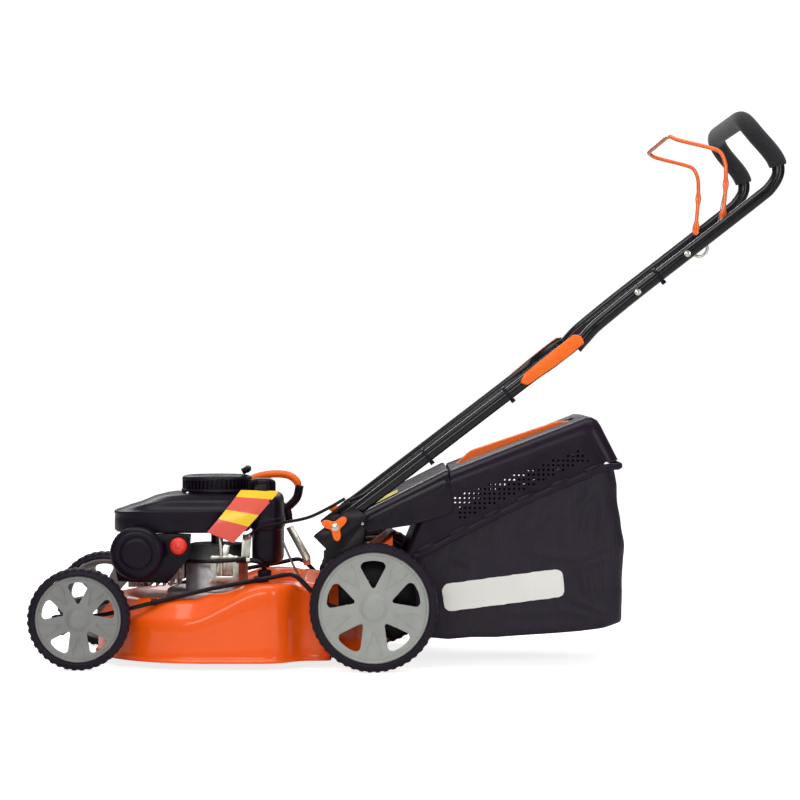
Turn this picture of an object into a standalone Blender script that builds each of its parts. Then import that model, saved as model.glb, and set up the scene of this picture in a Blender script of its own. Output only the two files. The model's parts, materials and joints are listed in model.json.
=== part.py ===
"""Petrol rotary lawn mower, pushed by hand, with a rear grass catcher.

The scene is in metres with +Z up. +X runs to the rear of the mower, where its user walks.
-Y is the mower's left side and +Y its right. The wheels stand on z = 0.
Lengths below are in millimetres, and MM turns them into metres.
"""

import math

import bmesh
import bpy
from mathutils import Matrix, Vector

MM = 0.001
GAP = 0.4  # free play between pieces that bear on each other

# Wheels. Hubs are (x, z), tyre sides are distances from the middle plane.
FRONT_HUB, FRONT_RADIUS, FRONT_TYRE = (-645.4, 101.6), 101.6, (193.0, 238.0)
REAR_HUB, REAR_RADIUS, REAR_TYRE = (-59.5, 127.0), 127.0, (220.0, 270.0)
FRONT_RIM, REAR_RIM = 86.0, 110.0
AXLE = 6.0
WHEEL_STEPS = 24  # a multiple of 4, so that a corner of each tyre meets the ground
OVAL_STEPS = 20  # corners of the rounded rings of the engine's shroud, tank and crankcase
WINDOWS, FIRST_WINDOW = 5, 90.7

# Height setting. Each wheel hangs on a crank, and two link rods keep the cranks parallel.
CRANK = (41.0, 28.7)  # from a crank's pivot to its wheel hub
LINK_ARM = (-12.5, 21.7)  # from a crank's pivot to its link pin
FRONT_PIVOT = (FRONT_HUB[0] - CRANK[0], FRONT_HUB[1] - CRANK[1])
REAR_PIVOT = (REAR_HUB[0] - CRANK[0], REAR_HUB[1] - CRANK[1])
FRONT_PIN = (FRONT_PIVOT[0] + LINK_ARM[0], FRONT_PIVOT[1] + LINK_ARM[1])
REAR_PIN = (REAR_PIVOT[0] + LINK_ARM[0], REAR_PIVOT[1] + LINK_ARM[1])
LINK_RADIUS = 5.0
LEVER_PIVOT, LEVER_Y = (-205.0, 186.0), 168.0

# Deck
SHAFT_X = -386.0  # the crankshaft's place along the mower
DECK_FRONT, DECK_SIDE, DECK_REAR = 245.0, 238.0, -150.0
DECK_FOOT, DECK_FLOOR, SHEET = 10.0, 128.0, 3.0
BLADE_LENGTH, BLADE_WIDTH, BLADE_Z = 452.0, 58.0, 48.0

# Discharge tunnel, flap and catcher
TUNNEL_SIDE, TUNNEL_REAR = 190.0, -22.0
FLAP_SIDE, FLAP_HINGE = 197.0, (-82.0, 291.0)
HOOD_SIDE, BAG_SIDE, CLOTH = 188.0, 191.0, 4.0
RECESS, RECESS_SIDE = 35.0, 40.0

# Handle
HANDLE_Y, TUBE = 235.0, 12.5
FOLD_LOW, FOLD_HIGH = (-135.0, 287.0), (340.0, 651.0)
BAIL_PIVOT, BAIL_Y, BAIL_WIRE = (634.0, 893.0), 216.5, 4.0
FOAM = 18.0
CABLE = 3.2

# Engine
HOUSING_TOP, RECOIL_TOP, RECOIL_RADIUS = 343.0, 378.0, 72.5
FILTER, FILTER_RADIUS = (-538.0, 226.0), 53.0
PRIMER = (-455.0, 240.0)
CAP = (-288.5, -72.0)
PULL = Vector((0.87, 0.0, 0.49)).normalized()  # the way the starter cord is pulled


def clear_scene():
    for thing in list(bpy.data.objects):
        bpy.data.objects.remove(thing, do_unlink=True)


def material(name, colour, roughness, metallic=0.0):
    made = bpy.data.materials.new(name)
    made.use_nodes = True
    shader = made.node_tree.nodes["Principled BSDF"]
    shader.inputs["Base Color"].default_value = (*colour, 1.0)
    shader.inputs["Roughness"].default_value = roughness
    shader.inputs["Metallic"].default_value = metallic
    return made


# Shapes. Each function returns a closed mesh whose faces point out.


def shape(points, faces):
    mesh = bpy.data.meshes.new("shape")
    mesh.from_pydata([Vector(p) * MM for p in points], [], faces)
    work = bmesh.new()
    work.from_mesh(mesh)
    bmesh.ops.recalc_face_normals(work, faces=work.faces)
    work.to_mesh(mesh)
    work.free()
    return mesh


def loft(rings, closed=False):
    """Skin over rings of equal length. Open lofts get a cap at each end."""
    count = len(rings[0])
    points = [p for ring in rings for p in ring]
    spans = len(rings) if closed else len(rings) - 1
    faces = []
    for row in range(spans):
        low, high = row * count, (row + 1) % len(rings) * count
        for i in range(count):
            j = (i + 1) % count
            faces.append((low + i, low + j, high + j, high + i))
    if not closed:
        faces.append(tuple(range(count)))
        faces.append(tuple(range(len(points) - count, len(points))))
    return shape(points, faces)


def circle(axis, centre, radius, along, count):
    """Ring of points about a line parallel to an axis, at height along on it."""
    ring = []
    for i in range(count):
        turn = 2 * math.pi * i / count
        u, v = radius * math.cos(turn), radius * math.sin(turn)
        if axis == "Z":
            ring.append((centre[0] + u, centre[1] + v, along))
        elif axis == "Y":
            ring.append((centre[0] + u, along, centre[1] + v))
        else:
            ring.append((along, centre[0] + u, centre[1] + v))
    return ring


def lathe(axis, centre, profile, count=24, closed=False):
    """Turned shape through (radius, height) pairs."""
    return loft([circle(axis, centre, r, h, count) for r, h in profile], closed)


def pin(axis, centre, radius, low, high, count=16):
    return lathe(axis, centre, [(radius, low), (radius, high)], count)


def oval(centre, half, height, power=2.6):
    """Horizontal ring between an ellipse and a rectangle."""
    ring = []
    for i in range(OVAL_STEPS):
        turn = 2 * math.pi * i / OVAL_STEPS
        c, s = math.cos(turn), math.sin(turn)
        x = centre[0] + half[0] * math.copysign(abs(c) ** (2 / power), c)
        y = centre[1] + half[1] * math.copysign(abs(s) ** (2 / power), s)
        ring.append((x, y, height))
    return ring


def side_plate(outline, low, high):
    """Outline of (x, z) pairs with thickness from y = low to y = high."""
    return loft([[(x, low, z) for x, z in outline], [(x, high, z) for x, z in outline]])


def block(low, high):
    corners = ((low[0], low[2]), (high[0], low[2]), (high[0], high[2]), (low[0], high[2]))
    return side_plate(corners, low[1], high[1])


def smooth_path(points, steps):
    """Curve through hand-placed points, with a number of steps between each pair."""
    path = [Vector(p) for p in points]
    ends = [2 * path[0] - path[1], *path, 2 * path[-1] - path[-2]]
    route = []
    for i in range(len(path) - 1):
        a, b, c, d = ends[i : i + 4]
        for step in range(steps):
            t = step / steps
            route.append(
                0.5
                * (
                    2 * b
                    + (c - a) * t
                    + (2 * a - 5 * b + 4 * c - d) * t**2
                    + (3 * b - a - 3 * c + d) * t**3
                )
            )
    return [*route, path[-1]]


def tube_rings(route, radius, count):
    """Round sections square to a route, carried along it without twist."""
    side = Vector((0, 1, 0))
    rings = []
    for i, point in enumerate(route):
        ahead = route[min(i + 1, len(route) - 1)] - route[max(i - 1, 0)]
        ahead.normalize()
        side = side - ahead * side.dot(ahead)
        if side.length < 0.1:
            side = ahead.orthogonal()
        side.normalize()
        up = ahead.cross(side)
        ring = []
        for k in range(count):
            turn = 2 * math.pi * k / count
            ring.append(point + radius * (math.cos(turn) * side + math.sin(turn) * up))
        rings.append(ring)
    return rings


def bar(route, radius, count=10):
    return loft(tube_rings(route, radius, count))


def sleeve(route, outer, inner, count=10):
    """Hose-like wall about a route, open at both ends."""
    outside = tube_rings(route, outer, count)
    inside = tube_rings(route, inner, count)
    return loft(outside + inside[::-1], closed=True)


def mirrored(points):
    """The points followed by their mirror images across the middle plane, in reverse."""
    return [*points, *[(x, -y, z) for x, y, z in reversed(points)]]


def along(start, end, distance, lift=0.0):
    """Point in the (x, z) plane at a distance along a line, and lifted square to it."""
    way = Vector((end[0] - start[0], end[1] - start[1])).normalized()
    spot = Vector(start) + way * distance + Vector((-way.y, way.x)) * lift
    return (spot.x, spot.y)


def helper(mesh):
    thing = bpy.data.objects.new("helper", mesh)
    bpy.context.scene.collection.objects.link(thing)
    thing.hide_render = True
    thing.display_type = "WIRE"
    return thing


def carved(base, add=(), cut=()):
    """One mesh joined to some and then cut by others."""
    piece = helper(base)
    helpers = [piece]
    for way, meshes in (("UNION", add), ("DIFFERENCE", cut)):
        for mesh in meshes:
            other = helper(mesh)
            helpers.append(other)
            step = piece.modifiers.new("step", "BOOLEAN")
            step.operation, step.solver, step.object = way, "EXACT", other
    bpy.context.view_layer.update()
    graph = bpy.context.evaluated_depsgraph_get()
    result = bpy.data.meshes.new_from_object(piece.evaluated_get(graph))
    for other in helpers:
        bpy.data.objects.remove(other, do_unlink=True)
    return result


def solid(name, finish, base, add=(), cut=(), pivot=(0, 0, 0)):
    """Named piece with its origin at pivot, made of one mesh joined to some and cut by others."""
    piece = bpy.data.objects.new(name, carved(base, add, cut) if add or cut else base)
    bpy.context.scene.collection.objects.link(piece)
    piece.data.name = name
    piece.data.transform(Matrix.Translation(-Vector(pivot) * MM))
    piece.location = Vector(pivot) * MM
    piece.data.materials.clear()
    piece.data.materials.append(finish)
    piece.data.shade_smooth()
    piece.data.set_sharp_from_angle(angle=math.radians(35))
    return piece


def turned_copy(piece, name, place):
    """Same mesh on the other side of the mower, turned half round about the vertical."""
    twin = bpy.data.objects.new(name, piece.data)
    twin.location = Vector(place) * MM
    twin.rotation_euler = (0, 0, math.pi)
    bpy.context.scene.collection.objects.link(twin)
    return twin


# Wheels


def tyre(name, finish, hub, radius, rim, sides):
    near, far = -sides[1], -sides[0]
    profile = [
        (rim + GAP, near + 6),
        (rim + 5, near),
        (radius - 5, near + 1),
        (radius, near + 11),
        (radius, far - 11),
        (radius - 5, far - 1),
        (rim + 5, far),
        (rim + GAP, far - 6),
    ]
    middle = (near + far) / 2
    made = lathe("Y", hub, profile, WHEEL_STEPS, closed=True)
    return solid(name, finish, made, pivot=(hub[0], middle, hub[1]))


def window(hub, rim, turn, low, high):
    """Shield-shaped cutter: wide at the rim, pointed at the hub."""
    outline = []
    for reach, lean in ((0.34, 0), (0.58, 17), (0.82, 23), (0.88, 10)):
        outline.append((reach, lean))
    outline += [(reach, -lean) for reach, lean in reversed(outline[1:])]
    corners = []
    for reach, lean in outline:
        way = math.radians(turn + lean)
        corners.append(
            (hub[0] + rim * reach * math.cos(way), hub[1] + rim * reach * math.sin(way))
        )
    return side_plate(corners, low, high)


def rim(name, finish, hub, radius, sides):
    near, far = -sides[1], -sides[0]
    disc, hub_radius = near + 11, 0.21 * radius
    profile = [
        (AXLE + GAP, near + 12),
        (AXLE + GAP, far - 1),
        (hub_radius, far - 1),
        (hub_radius, disc + 6),
        (radius - 6, disc + 6),
        (radius - 5, far - 6),
        (radius, far - 6),
        (radius, near + 5),
        (radius - 8, disc),
        (hub_radius + 3, disc),
        (hub_radius - 1, near + 3),
    ]
    made = lathe("Y", hub, profile, WHEEL_STEPS)
    cuts = []
    for i in range(WINDOWS):
        cuts.append(window(hub, radius, FIRST_WINDOW + i * 360 / WINDOWS, disc - 5, disc + 12))
    middle = (near + far) / 2
    return solid(name, finish, made, cut=cuts, pivot=(hub[0], middle, hub[1]))


def wheels(rubber, front_plastic, rear_plastic):
    kinds = (
        ("front", FRONT_HUB, FRONT_RADIUS, FRONT_RIM, FRONT_TYRE, front_plastic),
        ("rear", REAR_HUB, REAR_RADIUS, REAR_RIM, REAR_TYRE, rear_plastic),
    )
    for end, hub, radius, rim_radius, sides, plastic in kinds:
        place = (hub[0], (sides[0] + sides[1]) / 2, hub[1])
        left = tyre(f"{end}_tyre_left", rubber, hub, radius, rim_radius, sides)
        turned_copy(left, f"{end}_tyre_right", place)
        left = rim(f"{end}_rim_left", plastic, hub, rim_radius, sides)
        turned_copy(left, f"{end}_rim_right", place)


# Height setting


def crank_plate(pivot, hub, link_pin, low, high):
    """Flat three-cornered arm that holds pivot, hub and link pin."""
    corners = []
    for centre, turns in ((hub, (-70, -20, 30, 80)), (link_pin, (80, 130, 180)), (pivot, (200, 250, 290))):
        for turn in turns:
            way = math.radians(turn)
            corners.append((centre[0] + 10 * math.cos(way), centre[1] + 10 * math.sin(way)))
    return side_plate(corners, low, high)


def front_axle(steel):
    bore_end = FRONT_TYRE[1] - 13
    base = pin("Y", FRONT_PIVOT, AXLE, -168, 168)
    add = []
    for side in (-1, 1):
        inner, outer = sorted((side * 165, side * 171))
        add.append(crank_plate(FRONT_PIVOT, FRONT_HUB, FRONT_PIN, inner, outer))
        low, high = sorted((side * 168, side * bore_end))
        add.append(pin("Y", FRONT_HUB, AXLE, low, high))
        low, high = sorted((side * 151, side * 168))
        add.append(pin("Y", FRONT_PIN, 4, low, high, 12))
    pivot = (FRONT_PIVOT[0], 0, FRONT_PIVOT[1])
    solid("front_axle", steel, base, add=add, pivot=pivot)


def rear_crank(name, steel, side):
    def span(a, b):
        return sorted((side * a, side * b))

    base = crank_plate(REAR_PIVOT, REAR_HUB, REAR_PIN, *span(209.5, 214.5))
    add = [
        pin("Y", REAR_HUB, AXLE, *span(212, REAR_TYRE[1] - 13)),
        pin("Y", REAR_PIVOT, AXLE, *span(182, 212)),
        pin("Y", REAR_PIN, 4, *span(196, 212), 12),
    ]
    pivot = (REAR_PIVOT[0], side * 212, REAR_PIVOT[1])
    solid(name, steel, base, add=add, pivot=pivot)


def link_rod(name, steel, side):
    """Rod over the deck's shoulder, from the front crank's pin to the rear one's."""
    knots = [
        (FRONT_PIN[0] + 6, 158, FRONT_PIN[1]),
        (-650, 158, 97),
        (-618, 161, 102),
        (-585, 174, 109),
        (-539, 184, 121),
        (-383, 185, 159),
        (-264, 187, 181),
        (-225, 192, 188),
        (-204, 199, 176),
        (-178, 203, 149),
        (-150, 203, 128),
        (REAR_PIN[0] - 6, 203, REAR_PIN[1]),
    ]
    route = smooth_path([(x, side * y, z) for x, y, z in knots], 2)
    base = bar(route, LINK_RADIUS, 6)
    add, cut = [], []
    for centre, y in ((FRONT_PIN, 158), (REAR_PIN, 203)):
        low, high = sorted((side * (y - 4.5), side * (y + 4.5)))
        add.append(pin("Y", centre, 9, low, high, 12))
        cut.append(pin("Y", centre, 4 + GAP, low - 2, high + 2, 12))
    pivot = (REAR_PIN[0], side * 203, REAR_PIN[1])
    solid(name, steel, base, add=add, cut=cut, pivot=pivot)


def height_lever(steel, plastic, accent):
    pivot = (LEVER_PIVOT[0], LEVER_Y, LEVER_PIVOT[1])
    low, high = LEVER_Y - 2.5, LEVER_Y + 2.5
    strap = side_plate(
        ((-212, 176), (-197, 178), (-198, 196), (-236, 262), (-250, 256), (-214, 190)), low, high
    )
    axle = pin("Y", LEVER_PIVOT, 4, LEVER_Y - 11, LEVER_Y + 14, 12)
    solid("height_lever_strap", steel, strap, add=[axle], pivot=pivot)
    loop = [(-244, 268), (-252, 300), (-296, 316), (-340, 338)]
    neck = smooth_path([(x, LEVER_Y, z) for x, z in loop], 4)
    back = smooth_path([(x, LEVER_Y, z) for x, z in ((-252, 296), (-228, 320), (-221, 348))], 4)
    solid("height_lever_neck", plastic, bar(neck, 9, 8), add=[bar(back, 9, 8)], pivot=pivot)
    arch = [(-347, 354), (-318, 371), (-273, 380), (-238, 372), (-224, 361)]
    grip = smooth_path([(x, LEVER_Y, z) for x, z in arch], 4)
    solid("height_lever_grip", accent, bar(grip, 10.5, 8), pivot=pivot)


# Deck


def deck_height(x):
    """The shoulder climbs from the front to the discharge at the rear."""
    return min(170.0, 104.0 + 0.225 * (x + 539.0))


def deck_outline():
    """Plan of the skirt: round at the front about the blade, drawn in between the rear wheels."""
    points = []
    for i in range(17):
        turn = math.pi / 2 + i * math.pi / 16
        points.append((SHAFT_X + DECK_FRONT * math.cos(turn), DECK_SIDE * math.sin(turn)))
    left = [(-300, 238), (-250, 232), (-224, 206), (-207, 190), (-165, 187), (DECK_REAR, 178)]
    left += [(DECK_REAR, 90)]
    points += [(x, -y) for x, y in left]
    points.append((DECK_REAR, 0))
    points += reversed(left)
    return points


def deck_shell(paint):
    rows = []

    def row(scale, drop, share=1.0):
        """One ring, at a share of the way from the engine's floor to the shoulder."""
        ring = []
        for x, y in deck_outline():
            px = SHAFT_X + (x - SHAFT_X) * scale
            py = y * scale
            ring.append((px, py, DECK_FLOOR + (deck_height(x) - DECK_FLOOR) * share - drop))
        rows.append(ring)

    def foot(scale, height):
        rows.append(
            [(SHAFT_X + (x - SHAFT_X) * scale, y * scale, height) for x, y in deck_outline()]
        )

    foot(1.033, DECK_FOOT)
    foot(1.033, DECK_FOOT + 3)
    foot(1.0, DECK_FOOT + 4)
    row(1.0, 24)
    row(0.98, 7)
    row(0.93, 0)
    row(0.74, 2)
    row(0.62, 0, 0.5)
    row(0.52, 0, 0)
    row(0.17, 0, 0)
    row(0.17, SHEET, 0)
    row(0.52, SHEET, 0)
    row(0.62, SHEET, 0.5)
    row(0.74, SHEET + 2)
    row(0.926, SHEET)
    row(0.968, 10)
    row(0.987, 25)
    foot(0.987, DECK_FOOT)
    base = loft(rows, closed=True)
    add, cut = [], []
    for y in (-120, 118):
        ear = ((-585, 92), (-585, 50), (-686, 60), (-698, 73), (-686, 86))
        add.append(side_plate(ear, y, y + 4))
    for y in (LEVER_Y - 9, LEVER_Y + 5):
        lug = ((-224, 160), (-186, 160), (-196, 196), (-214, 196))
        add.append(side_plate(lug, y, y + 4))
    cut.append(block((DECK_REAR - 12, -140, 36), (DECK_REAR + 10, 140, 148)))
    cut.append(pin("Y", FRONT_PIVOT, AXLE + GAP, -140, 140))
    cut.append(pin("Y", LEVER_PIVOT, 4 + GAP, 150, 190, 12))
    solid("deck_shell", paint, base, add=add, cut=cut)


def discharge_tunnel(paint):
    """Duct that carries the clippings up from the deck to the catcher."""
    front = DECK_REAR + GAP
    outside = ((front, 24), (front, 166), (-105, 200), (TUNNEL_REAR, 262), (TUNNEL_REAR, 62), (-80, 24))
    inside = ((front - 9, 36), (front - 9, 148), (-125, 156), (-98, 196), (10, 272), (10, 76), (-84, 36))
    base = side_plate(outside, -TUNNEL_SIDE, TUNNEL_SIDE)
    cut = [
        side_plate(inside, -TUNNEL_SIDE + SHEET, TUNNEL_SIDE - SHEET),
        pin("Y", REAR_PIVOT, AXLE + GAP, -220, 220),
    ]
    solid("discharge_tunnel", paint, base, cut=cut)


def handle_bracket(name, paint, side):
    """Fork that the lower handle's foot folds in, on a box-shaped upright."""

    def plate(outline, a, b):
        return side_plate(outline, *sorted((side * a, side * b)))

    tail = along(FOLD_LOW, FOLD_HIGH, -46, 11)
    head = along(FOLD_LOW, FOLD_HIGH, 52, 11)
    low_tail = along(FOLD_LOW, FOLD_HIGH, -42, -21.5)
    low_head = along(FOLD_LOW, FOLD_HIGH, 62, -21.5)
    web_tail = along(FOLD_LOW, FOLD_HIGH, -42, -18.5)
    web_head = along(FOLD_LOW, FOLD_HIGH, 62, -18.5)
    cheek = (tail, low_tail, low_head, head)
    upright = (tail, low_tail, (-160, 180), (-84, 205), (-76, 300), low_head, head)
    base = plate(upright, 216, 219)
    add = [
        plate(cheek, 250, 253),
        plate((low_tail, low_head, web_head, web_tail), 216, 253),
        plate(((-160, 180), (-84, 205), (-84, 208), (-160, 184)), 190.4, 219),
        plate(((-160, 180), (-84, 205), (-82, 240), (-160, 236)), 190.4, 193.4),
    ]
    bolt = pin("Y", FOLD_LOW, 4 + GAP, -270, 270, 12)
    rod = pin("Y", FLAP_HINGE, 3 + GAP, -270, 270, 12)
    solid(name, paint, base, add=add, cut=[bolt, rod])


# Engine


def crankcase(metal):
    base = loft([oval((SHAFT_X - 3, 0), (99, 104), z, 3.4) for z in (DECK_FLOOR + GAP, 143)])
    sump = [oval((SHAFT_X, 0), (64, 86), z, 3.0) for z in (140, 204)]
    sump += [oval((SHAFT_X, 0), (56, 62), 236, 2.4)]
    bore = pin("Z", (SHAFT_X, 0), 12.5 + GAP, 120, 250)
    solid("crankcase", metal, base, add=[loft(sump)], cut=[bore])


def cylinder(metal):
    """Finned barrel that lies forward from the crankcase."""
    start = SHAFT_X - 64 - GAP
    base = block((start - 94, -38, 165), (start, 38, 238))
    fins = []
    for i in range(6):
        x = start - 14 - i * 14
        fins.append(block((x - 2, -54, 152), (x + 2, 54, 252)))
    solid("cylinder", metal, base, add=fins)
    front = start - 94 - GAP
    head = block((front - 20, -56, 150), (front, 56, 254))
    plug = pin("X", (0, 202), 9, front - 38, front - 10, 12)
    solid("cylinder_head", metal, head, add=[plug])


def muffler(metal):
    rings = []
    for y, grow in ((60, 0), (64, 4), (112, 4), (118, -2)):
        corners = ((-560 - grow, 170 - grow), (-478 + grow, 170 - grow))
        corners += ((-478 + grow, 246 + grow), (-560 - grow, 246 + grow))
        rings.append([(x, y, z) for x, z in corners])
    solid("muffler", metal, loft(rings), add=[pin("Y", (-500, 196), 9, 116, 130, 12)])


def blower_housing(plastic):
    """Cowl over flywheel and cylinder, open below, with a hole under the starter."""
    outer = [
        ((-455, 0), (140, 122), 266, 3.6),
        ((-455, 0), (140, 122), 300, 3.6),
        ((-452, 0), (134, 116), 304, 3.2),
        ((-444, 0), (116, 104), 326, 2.8),
        ((-430, 0), (100, 90), 336, 2.4),
        ((SHAFT_X, 0), (74, 74), HOUSING_TOP, 2.0),
    ]
    rings = [oval(c, h, z, p) for c, h, z, p in outer]
    rings.append(oval((SHAFT_X, 0), (64, 64), HOUSING_TOP, 2.0))
    rings.append(oval((SHAFT_X, 0), (64, 64), HOUSING_TOP - 3, 2.0))
    for c, h, z, p in reversed(outer[:5]):
        rings.append(oval(c, (h[0] - 3, h[1] - 3), z - (3 if z > 300 else 0), p))
    solid("blower_housing", plastic, loft(rings, closed=True))


def recoil_starter(plastic):
    """Vented cover, and the rope pulley inside it."""
    centre = (SHAFT_X, 0)
    base_z = HOUSING_TOP + GAP
    profile = [
        (RECOIL_RADIUS - 4, base_z),
        (RECOIL_RADIUS, base_z),
        (RECOIL_RADIUS, base_z + 14),
        (66, RECOIL_TOP - 6),
        (48, RECOIL_TOP),
        (12, RECOIL_TOP),
        (12, RECOIL_TOP - 3),
        (46, RECOIL_TOP - 3),
        (62, RECOIL_TOP - 9),
        (RECOIL_RADIUS - 4, base_z + 13),
    ]
    mouth = pin("X", (0, base_z + 22), 6, SHAFT_X + 50, SHAFT_X + 80, 12)
    rings = [circle("Z", centre, r, h, 24) for r, h in profile]
    cover = loft(rings, closed=True)
    solid("recoil_cover", plastic, cover, cut=[mouth])
    groove = [(7, 348), (50, 348), (50, 351), (44, 353), (44, 356), (50, 358), (50, 361), (7, 361)]
    pulley = lathe("Z", centre, groove, 16, closed=True)
    solid("rope_pulley", plastic, pulley, pivot=(SHAFT_X, 0, 354))


def starter_grip(plastic):
    """Stirrup-shaped pull handle, lying on the cover's rim across the mower."""
    foot = Vector((-334, 0, 384))
    top = foot + PULL * 22
    rings = []
    for share, half in ((0.0, 9), (0.35, 8), (0.6, 26), (0.85, 30), (1.0, 24)):
        centre = foot + PULL * 22 * share
        lean = Vector((-PULL.z, 0, PULL.x))
        ring = []
        for i in range(16):
            turn = 2 * math.pi * i / 16
            ring.append(centre + Vector((0, half * math.cos(turn), 0)) + lean * 8 * math.sin(turn))
        rings.append(ring)
    solid("starter_grip", plastic, loft(rings), pivot=tuple(top))


def fuel_tank(plastic, cap_plastic):
    middle = (-279, -20)
    outside = [
        (middle, (22, 80), 202, 3.0),
        (middle, (29, 94), 214, 3.2),
        (middle, (29.5, 96), 272, 3.4),
        (middle, (31.5, 98), 276, 3.4),
        (middle, (31.5, 98), 290, 3.4),
        (middle, (29.5, 96), 294, 3.4),
        (middle, (28, 92), 322, 3.2),
        ((-284, -36), (26, 60), 336, 2.6),
        (CAP, (19, 19), 340, 2.0),
        (CAP, (17, 17), 350, 2.0),
    ]
    inside = [
        (CAP, (14, 14), 350, 2.0),
        (CAP, (14, 14), 338, 2.0),
        ((-284, -36), (23, 57), 333, 2.6),
        (middle, (25, 89), 319, 3.2),
        (middle, (26.5, 92), 214, 3.2),
        (middle, (20, 78), 205, 3.0),
    ]
    rings = [oval(c, h, z, p) for c, h, z, p in outside + inside]
    solid("fuel_tank", plastic, loft(rings))
    profile = [(13, 344), (13, 351), (27, 351), (27.5, 372), (25, 378), (18, 380.5)]
    cap = lathe("Z", CAP, profile, 20)
    solid("fuel_cap", cap_plastic, cap, pivot=(CAP[0], CAP[1], 360))


def air_filter(plastic, cover_plastic, bulb_rubber):
    """Round air cleaner on the left of the engine, with the primer bulb beside it."""
    outline = [(-588, 210), (-578, 168), (-478, 164), (-436, 214), (-432, 262), (-480, 264)]
    outline += [(-500, 262), (-580, 262)]
    base = side_plate(outline, -124, -92)
    socket = pin("Y", PRIMER, 19, -140, -104, 20)
    guard = [(18.5, -118), (23.5, -118), (23.5, -136), (18.5, -136)]
    guard = lathe("Y", PRIMER, guard, 16, closed=True)
    solid("air_filter_base", plastic, base, add=[guard], cut=[socket])
    face = -124 - GAP
    profile = [
        (FILTER_RADIUS - 1, face),
        (FILTER_RADIUS, face - 6),
        (FILTER_RADIUS - 1, face - 28),
        (FILTER_RADIUS - 6, face - 35),
        (FILTER_RADIUS - 20, face - 36),
    ]
    cover = lathe("Y", FILTER, profile, 24)
    pivot = (FILTER[0], face, FILTER[1])
    solid("air_filter_cover", cover_plastic, cover, pivot=pivot)
    bulb = lathe(
        "Y", PRIMER, [(13, -113), (18, -116), (18, -132), (15.5, -142), (9, -148)], 18
    )
    solid("primer_bulb", bulb_rubber, bulb, pivot=(PRIMER[0], -126, PRIMER[1]))


def carburetor(metal):
    base = block((-520, -91.5, 188), (-453, -58, 238))
    bowl = pin("Z", (-486, -76), 14, 168, 190, 16)
    solid("carburetor", metal, base, add=[bowl])


def governor_bracket(zinc):
    """Pressed plate that holds the speed spring and the brake cable's end."""
    base = side_plate(((-392, 172), (-338, 166), (-334, 214), (-352, 222), (-388, 216)), -110, -108)
    fold = block((-350, -110, 214), (-318, -100, 216))
    tab = side_plate(((-330, 214), (-312, 214), (-308, 262), (-326, 262)), -110, -108)
    leg = block((-386, -109, 176), (-340, -89, 180))
    solid("governor_bracket", zinc, base, add=[fold, tab, leg])


def brake_lever(zinc):
    """Small lever that lets the flywheel brake off when the bail is pulled."""
    pivot = (-372, -114)
    base = side_plate(((-382, 184), (-372, 178), (-362, 184), (-352, 240), (-364, 242)), -116, -112.5)
    solid("brake_lever", zinc, base, pivot=(pivot[0], pivot[1], 188))


def oil_filler(plastic):
    knots = [(-318, -82, 158), (-296, -98, 156), (-283, -106, 164), (-282, -106, 173)]
    base = bar(smooth_path(knots, 3), 9, 10)
    solid("oil_filler_tube", plastic, base)
    cap = lathe("Z", (-282, -106), [(11, 174.5), (14, 177), (14, 188), (10, 190)], 16)
    solid("oil_cap", plastic, cap, pivot=(-282, -106, 180))


def fuel_line(rubber):
    knots = [(-321, -126, 214), (-352, -128, 210), (-398, -124, 208), (-420, -110, 207)]
    knots += [(-432, -92, 206), (-447, -80, 206)]
    solid("fuel_line", rubber, bar(smooth_path(knots, 4), 4.0, 6))


def rotating_group(steel, metal):
    """Flywheel, crankshaft, blade carrier and blade, which turn as one."""
    centre = (SHAFT_X, 0)
    shaft = lathe("Z", centre, [(8, 60), (12.5, 64), (12.5, 260), (10, 261), (10, 330)], 16)
    solid("crankshaft", steel, shaft, pivot=(SHAFT_X, 0, 200))
    profile = [(10.4, 262), (30, 262), (64, 278), (66, 296), (30, 298), (10.4, 310)]
    wheel = lathe("Z", centre, profile, 24, closed=True)
    vanes = []
    for i in range(4):
        vane = block((SHAFT_X + 34, -1.5, 292), (SHAFT_X + 62, 1.5, 305))
        vane.transform(
            Matrix.Translation((SHAFT_X * MM, 0, 0))
            @ Matrix.Rotation(i * math.pi / 2, 4, "Z")
            @ Matrix.Translation((-SHAFT_X * MM, 0, 0))
        )
        vanes.append(vane)
    solid("flywheel", metal, wheel, add=vanes, pivot=(SHAFT_X, 0, 290))
    carrier = [(13, 90), (20, 90), (20, 60), (32, 58), (32, 52), (6, 52), (6, 44.6), (16, 44.4)]
    carrier += [(16, 36), (4, 36), (4, 56), (13, 59)]
    carrier = lathe("Z", centre, carrier, 12, closed=True)
    solid("blade_carrier", steel, carrier, pivot=(SHAFT_X, 0, 60))


def blade(steel):
    """Flat cutter bar with each trailing edge turned up as a lift wing."""
    half, wide, low = BLADE_LENGTH / 2, BLADE_WIDTH / 2, BLADE_Z - 3
    reach = (-half, -half + 60, -half + 90, 0, half - 90, half - 60, half)
    base = []
    for x in reach:
        tip = abs(x) > half - 75
        front_lift = 22 if tip and x < 0 else 0
        back_lift = 22 if tip and x > 0 else 0
        section = [
            (-wide, low + front_lift),
            (-wide * 0.35, low),
            (wide * 0.35, low),
            (wide, low + back_lift),
            (wide, low + back_lift + 3.5),
            (wide * 0.35, low + 3.5),
            (-wide * 0.35, low + 3.5),
            (-wide, low + front_lift + 3.5),
        ]
        base.append([(y + SHAFT_X, x, z) for y, z in section])
    bore = pin("Z", (SHAFT_X, 0), 6 + GAP, 30, 60, 12)
    solid("blade", steel, loft(base), cut=[bore], pivot=(SHAFT_X, 0, BLADE_Z))


# Catcher


def hood_top(x, lift=0.0):
    """Point on the hood's top face, lifted above it."""
    return (x, 395.5 + (x - 94.0) * 0.388 + lift)


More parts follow.
